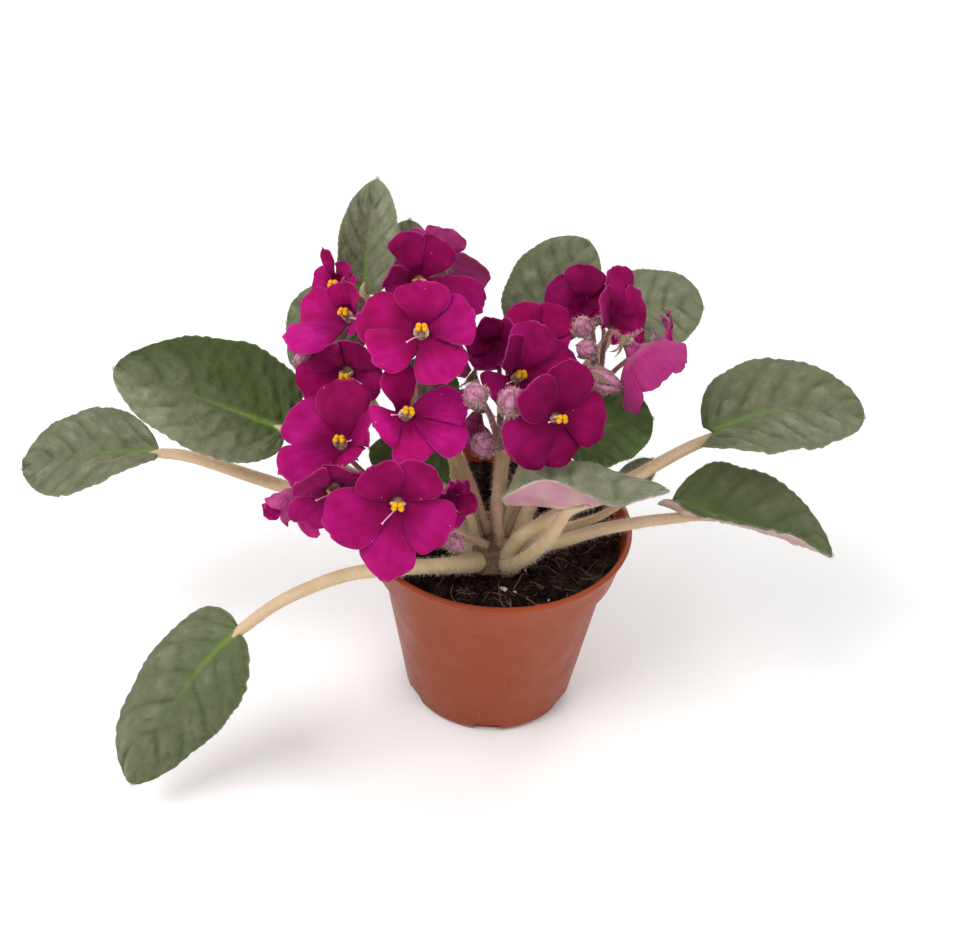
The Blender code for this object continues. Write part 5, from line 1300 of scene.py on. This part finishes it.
def petal_grid(petal, gaps, size, draw):
    """A petal's middle sheet in the flower's own frame, with its normals and named values. Along it
    t runs from 0 at the foot to 1 at the tip, and across it v runs from -1 to 1."""
    turn, length, half, lean, bend, cup, layer = petal
    t = np.linspace(0, 1, PETAL_ROWS)[:, None] + np.zeros((1, PETAL_ACROSS))
    v = np.linspace(-1, 1, PETAL_ACROSS)[None, :] + np.zeros((PETAL_ROWS, 1))
    phase = draw.uniform(0, FULL_TURN, 6)
    lively = draw.uniform(0.9, 1.7)
    turn = math.radians(turn)
    out = np.array((math.sin(turn), math.cos(turn), 0.0))
    across = np.array((math.cos(turn), -math.sin(turn), 0.0))
    front = np.array((0.0, 0.0, 1.0))
    right, gap = v > 0, np.where(v > 0, gaps[1], gaps[0])

    span = length * size - THROAT_RADIUS
    notch = 0.022 * draw.uniform(-0.3, 1.2) * hump(v, 0.28)
    uneven = 0.016 * np.sin(5 * v + phase[0]) + 0.030 * v * math.sin(phase[1])
    uneven += 0.010 * np.sin(11 * v + phase[2])
    reach = t - (0.085 * v * v + notch + uneven) * t ** 3
    start, rate = math.radians(lean), math.radians(bend)
    now = start + rate * reach
    distance = THROAT_RADIUS + span * (np.sin(now) - math.sin(start)) / rate
    rise = span * (math.cos(start) - np.cos(now)) / rate
    normal = np.cos(now)[..., None] * front - np.sin(now)[..., None] * out

    grown = np.sin(math.pi / 2 * np.minimum(t / PETAL_WIDEST, 1)) ** PETAL_SPREAD
    beyond = (np.maximum(t, PETAL_WIDEST) - PETAL_WIDEST) / PETAL_TIP_ROUND
    taper = np.sqrt(np.maximum(0.0, 1 - beyond ** 2))
    width = (PETAL_FOOT_WIDTH + (1 - PETAL_FOOT_WIDTH) * grown) * taper * half * size * PETAL_FULLNESS
    width *= 1 + 0.045 * np.sin(6.5 * t + phase[1] + right * phase[2]) * t
    room = distance * np.tan(gap) * (PETAL_LAPPED if abs(lean) < PETAL_LAP_LEAN else PETAL_SIDE_BY_SIDE)
    width = (width ** -14.0 + room ** -14.0) ** (-1 / 14.0)
    point = out * distance[..., None] + front * rise[..., None] + across * (width * v)[..., None]

    lift = cup * width * v * v + layer * smooth(t / PETAL_FOOT)
    wave = np.sin(FULL_TURN * 1.9 * t + phase[4] + right * phase[5])
    lift += lively * (0.50 * t * t * np.sin(2.6 * v + phase[3]) + 0.42 * np.abs(v) ** 3 * t * wave)
    lift -= 0.45 * hump(width * v, 1.1) * (1 - t) * smooth(t / 0.15)
    lift += 0.32 * ripple(point + 40 * turn, 8.0, int(draw.integers(1 << 30)), 2) * t
    lift -= 0.35 * np.abs(v) ** 5 * smooth(t / 0.5)
    normal = unit(normal - across * (2 * cup * v)[..., None])
    point = point + normal * lift[..., None]

    bearing = turn + v * gap
    ring = np.stack([np.sin(bearing), np.cos(bearing), np.zeros_like(v)], -1) * THROAT_RADIUS
    blend = smooth(t / PETAL_FOOT)[..., None]
    point = (1 - blend) * ring + blend * point
    normal = unit((1 - blend) * front + blend * normal)
    streak = np.maximum(0.0, np.sin(15 * v + 1.2 * np.sin(4 * t + phase[0]))) ** 3 * (1 - 0.7 * t)
    rim = np.maximum(np.abs(v) * smooth(t / 0.3), t)
    return point, normal, {"along": t, "side": np.abs(v), "streak": streak, "rim": rim}


def build_flower(number, flower, materials):
    """A flower's five petals round its throat. A petal that points up is painted deeper in colour as shade,
    and one that points down is painted brighter as light."""
    draw = np.random.default_rng(FLOWER_SEED + int(number))
    age, pale, deep = FLOWER_TONES[number]
    shape = Shape()
    for petal, gaps in zip(flower.petals, half_gaps(flower.petals)):
        point, normal, values = petal_grid(petal, gaps, flower.size, draw)
        thick = PETAL_THICKNESS / 2 * (1 - 0.45 * values["rim"] ** 6)[..., None]
        own_age = np.clip(age + draw.uniform(-0.12, 0.12), 0, 1)
        rise = unit(flower.place(point[-1, PETAL_ACROSS // 2]) - flower.centre)[2]
        # Painted shade on petals that point up, painted light (glow) on those that point down.
        values.update(age=own_age, pale=pale, deep=min(1.0, deep + PETAL_SHADE * max(0.0, rise)),
                      cast=draw.uniform(0.0, 1.0), glow=max(0.0, -rise))
        front, back = (flower.place(point + normal * thick * hand) for hand in (1, -1))
        add_sheet(shape, front, back, values, (0, 1, 0))
    inside = turned_grid([(3.05, 0.24), (2.5, 0.02), (1.9, -0.7), (1.2, -1.4), (0.5, -1.7), (0.02, -1.75)],
                         THROAT_ROUND)
    outside = turned_grid([(3.05, -0.22), (2.7, -0.9), (2.2, -1.8), (THROAT_BACK_RADIUS, THROAT_BACK),
                           (0.02, THROAT_BACK - 0.1)], THROAT_ROUND)
    shut = float("anthers_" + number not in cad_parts)
    shape.add_round(flower.place(inside), 2, along=np.linspace(1, 0, 6)[:, None], shut=shut)
    shape.add_round(flower.place(outside), 1, True, along=np.linspace(0.3, 0, 5)[:, None], pale=pale, age=age,
                    deep=deep)
    shape.build("flower_" + number, materials, ["corolla_" + number], "petal_magenta")


def build_stamens(number, flower, materials):
    """Two grooved anthers on their cream filaments, with the thin style beside them."""
    draw = np.random.default_rng(STAMEN_SEED + int(number))
    shape = Shape()
    ball = ball_grid(18, 20)
    groove = hump(ball[..., 1], 0.24)
    seam = groove * (1 - np.abs(ball[..., 2]) * 0.5)
    for hand in (-1, 1):
        tilt = 0.22 * hand + draw.uniform(-0.08, 0.08)
        lobe = ball * ANTHER_SIZE * (1 - 0.20 * groove[..., None])
        seat = (0.90 * hand, 0.15 + draw.uniform(-0.15, 0.15), ANTHER_SEAT + 3.35)
        shape.add_round(flower.place(lobe @ turn_upright(tilt) + seat), 0, True, seam=seam)
        path = bezier((1.5 * hand, -0.3, -1.4), (2.1 * hand, 0.2, 0.8), (1.5 * hand, 0.9, 2.2),
                      (0.75 * hand, 0.4, ANTHER_SEAT + 3.0), 9)
        add_tube(shape, flower.place(path), np.linspace(*FILAMENT_RADII, 10), 8, 1)
    aim = draw.uniform(-0.9, 0.9) + (math.pi if draw.uniform() < 0.6 else 0.0)
    away = np.array((math.cos(aim), math.sin(aim) * 0.6 - 0.5, 0.0))
    path = bezier((0.3, -0.5, -1.4), (0.3, -0.8, 1.0), away * 2.8 + (0, 0, 2.3), away * 5.4 + (0, 0, 3.6), 10)
    add_tube(shape, flower.place(path), np.linspace(*STYLE_RADII, 11), 6, 2)
    shape.add_round(flower.place(ball_grid(6, 8) * STIGMA_RADIUS + path[-1]), 2, True, along=1.0)
    shape.build("stamens_" + number, materials, ["anthers_" + number], "anther_yellow")


def add_sepal(shape, hairs, path, facing, width, draw, thick=0.4, cup=0.18):
    """A narrow pointed sepal or bract along a path, widest at a third of it, with its hairs. Along it
    t runs from 0 to 1, and across it v runs from -1 to 1."""
    t = np.linspace(0, 1, len(path))[:, None]
    v = np.linspace(-1, 1, 7)[None, :]
    normals = square_to(path, facing)[:, None]
    side = unit(np.cross(headings(path), normals[:, 0]))[:, None]
    half = width / 2 * np.clip(np.sin(math.pi * np.clip(t, 0.02, 0.995) ** 0.6), 0.03, 1) ** 0.8
    half = np.maximum(half, width * 0.30 * (1 - t / 0.3))
    points = path[:, None] + side * (half * v)[..., None] + normals * (cup * half * v * v)[..., None]
    lift = normals * (thick / 2 * (1 - 0.7 * v ** 4) * (1 - 0.5 * t))[..., None]
    add_sheet(shape, points + lift, points - lift, {"along": t, "side": np.abs(v)}, (1, 1, 1))
    span = np.linalg.norm(path[-1] - path[0])
    for hand, density, look in SEPAL_HAIRS:
        outward = hand * normals + side * (v * 1.2)[..., None]
        grow_hairs(hairs, points + hand * lift, outward, int(span * density), look, draw)


def add_calyx(shape, hairs, flower, age, draw):
    """The cup behind a flower, with five narrow sepals that droop with age."""
    back = THROAT_BACK - GAP
    cup = turned_grid([(PEDICEL_RADIUS, back - CALYX_LENGTH), (1.3, back - 2.4), (CALYX_RADIUS, back - 1.2),
                       (2.1, back - 0.4), (1.5, back)], 20)
    shape.add_round(flower.place(cup), 1, along=0.0)
    for k in range(SEPALS):
        angle = FULL_TURN * (k + 0.5) / SEPALS
        out = np.array((math.cos(angle), math.sin(angle), 0.0))
        reach = SEPAL_REACH * draw.uniform(0.86, 1.06)
        rise = draw.uniform(-0.9, 0.9) - 0.8 * age
        path = bezier(out * 1.3 + (0, 0, back - 1.6), out * 2.6 + (0, 0, back - 0.7),
                      out * (reach * 0.7) + (0, 0, back + 0.1), out * reach + (0, 0, back + rise), 11)
        add_sepal(shape, hairs, flower.place(path), flower.axes[2], SEPAL_WIDTH, draw)


def pedicel_path(fork, end, heading):
    """The thin stalk's centre line from a fork to a flower or a bud."""
    span = np.linalg.norm(end - fork)
    leave = fork + (0.55 * unit(end - fork) + np.array((0, 0, 0.25))) * span * 0.45
    return bezier(fork, leave, end - unit(heading) * span * 0.3, end, 18)


def add_bud(shape, hairs, centre, heading, length, width, draw):
    """A closed bud: furled petals with spiral folds, held by five sepals."""
    side = unit(np.cross(heading, (0.3, 1.0, 0.1)))
    up = np.cross(heading, side)
    place = np.linspace(-0.499, 0.499, 26)[:, None]
    angle = FULL_TURN * np.arange(40)[None, :] / 40
    crease = np.abs(np.sin((5.0 * angle + 5.0 * place) / 2))
    fold = hump(crease, 0.22) * smooth((place + 0.3) / 0.4)
    radius = (width / 2 * np.sqrt(1 - (2 * place) ** 2) * (1.04 - 0.13 * fold))[..., None]
    around_axis = np.cos(angle)[..., None] * side + np.sin(angle)[..., None] * up
    body = centre + heading * (length * place)[..., None] + radius * around_axis
    shape.add_round(body, 2, fold=fold)
    for k in range(SEPALS):
        bearing = FULL_TURN * (k + 0.5) / SEPALS + 0.2
        out = math.cos(bearing) * side + math.sin(bearing) * up
        station = np.linspace(-0.5, draw.uniform(0.08, 0.34), 11)[:, None]
        hug = width / 2 * np.sqrt(np.maximum(0.02, 1 - (2 * station) ** 2)) * 1.06 + 0.25
        hug += 0.7 * smooth((station - 0.05) / 0.3)
        path = centre + heading * length * station + out * hug
        add_sepal(shape, hairs, path, -out, width * 0.42, draw, 0.35, 0.25)
    skin = closed(body)
    grow_hairs(hairs, skin, skin - centre, int(length * width * BUD_HAIR_DENSITY), BUD_HAIR, draw)


def build_spray(letter, materials, hair):
    """One flower spray: its main stalk with two bracts, its pedicels, calyces and buds."""
    shape, hairs = Shape(), Shape()
    draw = np.random.default_rng(SPRAY_SEED + ord(letter))

    def add_stalk(path, radius, around, density, stout):
        """A stalk of the spray, its radius given at its start and its end."""
        add_stem(shape, hairs, path, np.linspace(*radius, len(path)), around, density, SPRAY_HAIR, draw,
                 flutes=0.03, seed=1.0, stout=stout)

    add_stalk(curve_through(SPRAYS[letter], 30), (PEDUNCLE_RADIUS * 1.05, PEDUNCLE_RADIUS * 0.85), 14,
              PEDUNCLE_HAIR_DENSITY, 1.0)
    coarse = curve_through(SPRAYS[letter], 6)
    fork = coarse[-1] - unit(coarse[-1] - coarse[-2]) * FORK_DEPTH
    for hand in (-1, 1):
        aside = unit(np.cross(coarse[-1] - coarse[-2], (0.4 * hand, 1, 0.2)) * hand)
        bract = bezier(fork + aside * 0.9, fork + aside * 2.5 + (0, 0, 1.0), fork + aside * 4.0 + (0, 0, 2.5),
                       fork + aside * 5.2 + (0, 0, 4.6), 10)
        add_sepal(shape, hairs, bract, np.array((0, 0, 1.0)), 2.4, draw)
    for number, flower in FLOWERS.items():
        if flower.spray == letter:
            end = flower.place((0, 0, THROAT_BACK - GAP - CALYX_LENGTH + 0.5))
            add_stalk(pedicel_path(fork, end, flower.axes[2]), (PEDICEL_RADIUS * 1.1, PEDICEL_RADIUS), 10,
                      PEDICEL_HAIR_DENSITY, 0.0)
            add_calyx(shape, hairs, flower, FLOWER_TONES[number][0], draw)
    for spray, centre, heading, length, width, start in BUDS:
        if spray == letter:
            heading = unit(heading)
            end = centre - heading * length * 0.4
            start = fork if start is None else np.array(start, float)
            add_stalk(pedicel_path(start, end, heading), (PEDICEL_RADIUS * 1.1, PEDICEL_RADIUS * 0.9), 10,
                      PEDICEL_HAIR_DENSITY, 0.0)
            add_bud(shape, hairs, np.array(centre, float), heading, length, width, draw)
    shape.build("spray_" + letter, materials, ["flower_spray_" + letter], "flower_stalk")
    hairs.build("spray_hairs_" + letter, [hair], (), "flower_stalk")


def put(item, right, up, back, place):
    """Link a lamp or camera into the scene, with its own axes and its place."""
    matrix = Matrix.Identity(4)
    for row in range(3):
        matrix[row] = (right[row], up[row], back[row], place[row])
    item.matrix_world = matrix
    bpy.context.scene.collection.objects.link(item)


def build_stage():
    """A pale floor and soft studio light."""
    corners = [(-1, -1, 0), (1, -1, 0), (1, 1, 0), (-1, 1, 0)]
    mesh = bpy.data.meshes.new("floor")
    mesh.from_pydata([np.array(corner) * FLOOR_REACH for corner in corners], [], [(0, 1, 2, 3)])
    floor = bpy.data.objects.new("floor", mesh)
    floor.location.z = FLOOR_HEIGHT
    bpy.context.scene.collection.objects.link(floor)
    shade = Shade("floor_paper", 0.9)
    shade.body = shade.mix(shade.clouds(300, 2), (0.86, 0.86, 0.855), (0.89, 0.89, 0.885))
    mesh.materials.append(shade.finish())
    world = bpy.data.worlds.new("studio")
    bpy.context.scene.world = world
    world.use_nodes = True
    background = world.node_tree.nodes["Background"]
    background.inputs["Color"].default_value = (1.0, 1.0, 1.0, 1.0)
    background.inputs["Strength"].default_value = WORLD_LIGHT
    for name, place, size, power in LAMPS:
        lamp = bpy.data.lights.new(name, "AREA")
        lamp.shape = "DISK"
        lamp.size = size
        lamp.energy = power
        back = unit(np.subtract(place, PLANT_MIDDLE))
        right = unit(np.cross((0.0, 0.0, 1.0), back))
        put(bpy.data.objects.new(name, lamp), right, np.cross(back, right), back, place)


def build_camera():
    """The camera at the photograph's angle."""
    camera = bpy.data.cameras.new("camera")
    camera.sensor_fit = "HORIZONTAL"
    camera.sensor_width = CAMERA_SENSOR
    camera.lens = CAMERA_FOCAL_PIXELS / PHOTO_WIDTH * CAMERA_SENSOR
    down, roll = math.radians(CAMERA_DOWN), math.radians(CAMERA_ROLL)
    ahead = np.array((0.0, math.cos(down), -math.sin(down)))
    level = np.array((1.0, 0.0, 0.0))
    up = np.cross(level, ahead)
    right = level * math.cos(roll) + up * math.sin(roll)
    top = up * math.cos(roll) - level * math.sin(roll)
    item = bpy.data.objects.new("camera", camera)
    put(item, right, top, -ahead, CAMERA_PLACE)
    bpy.context.scene.camera = item


def main():
    """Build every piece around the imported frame."""
    build_stage()
    build_camera()
    bpy.context.scene.view_settings.view_transform = "Standard"
    build_pot()
    build_soil()
    build_stalks()
    leaf_materials = [leaf_material(), underleaf_material()]
    leaf_hairs = [along_material("leaf_hair", 0.45, (0.14, 0.17, 0.08), (0.42, 0.45, 0.34)),
                  along_material("leaf_fringe", 0.45, (0.40, 0.45, 0.32), (0.80, 0.82, 0.74))]
    for number, leaf in LEAVES.items():
        build_leaf(number, leaf, leaf_materials, leaf_hairs)
    spray_materials = [flower_stalk_material(), sepal_material(), bud_material()]
    spray_hair = along_material("spray_hair", 0.45, (0.50, 0.30, 0.28), (0.90, 0.80, 0.78))
    for letter in SPRAYS:
        build_spray(letter, spray_materials, spray_hair)
    petal_materials = [petal_material(), petal_back_material(), throat_material()]
    style = along_material("style", 0.5, (0.60, 0.16, 0.36), (0.78, 0.42, 0.56))
    stamen_materials = [anther_material(), filament_material(), style]
    for number, flower in FLOWERS.items():
        build_flower(number, flower, petal_materials)
        if "anthers_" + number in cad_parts:
            build_stamens(number, flower, stamen_materials)


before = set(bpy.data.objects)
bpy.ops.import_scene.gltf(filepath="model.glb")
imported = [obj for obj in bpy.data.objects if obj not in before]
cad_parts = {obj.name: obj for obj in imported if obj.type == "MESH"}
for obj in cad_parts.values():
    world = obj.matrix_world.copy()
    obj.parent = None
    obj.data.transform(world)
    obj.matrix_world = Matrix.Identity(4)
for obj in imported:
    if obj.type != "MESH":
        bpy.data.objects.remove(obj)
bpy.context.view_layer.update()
main()
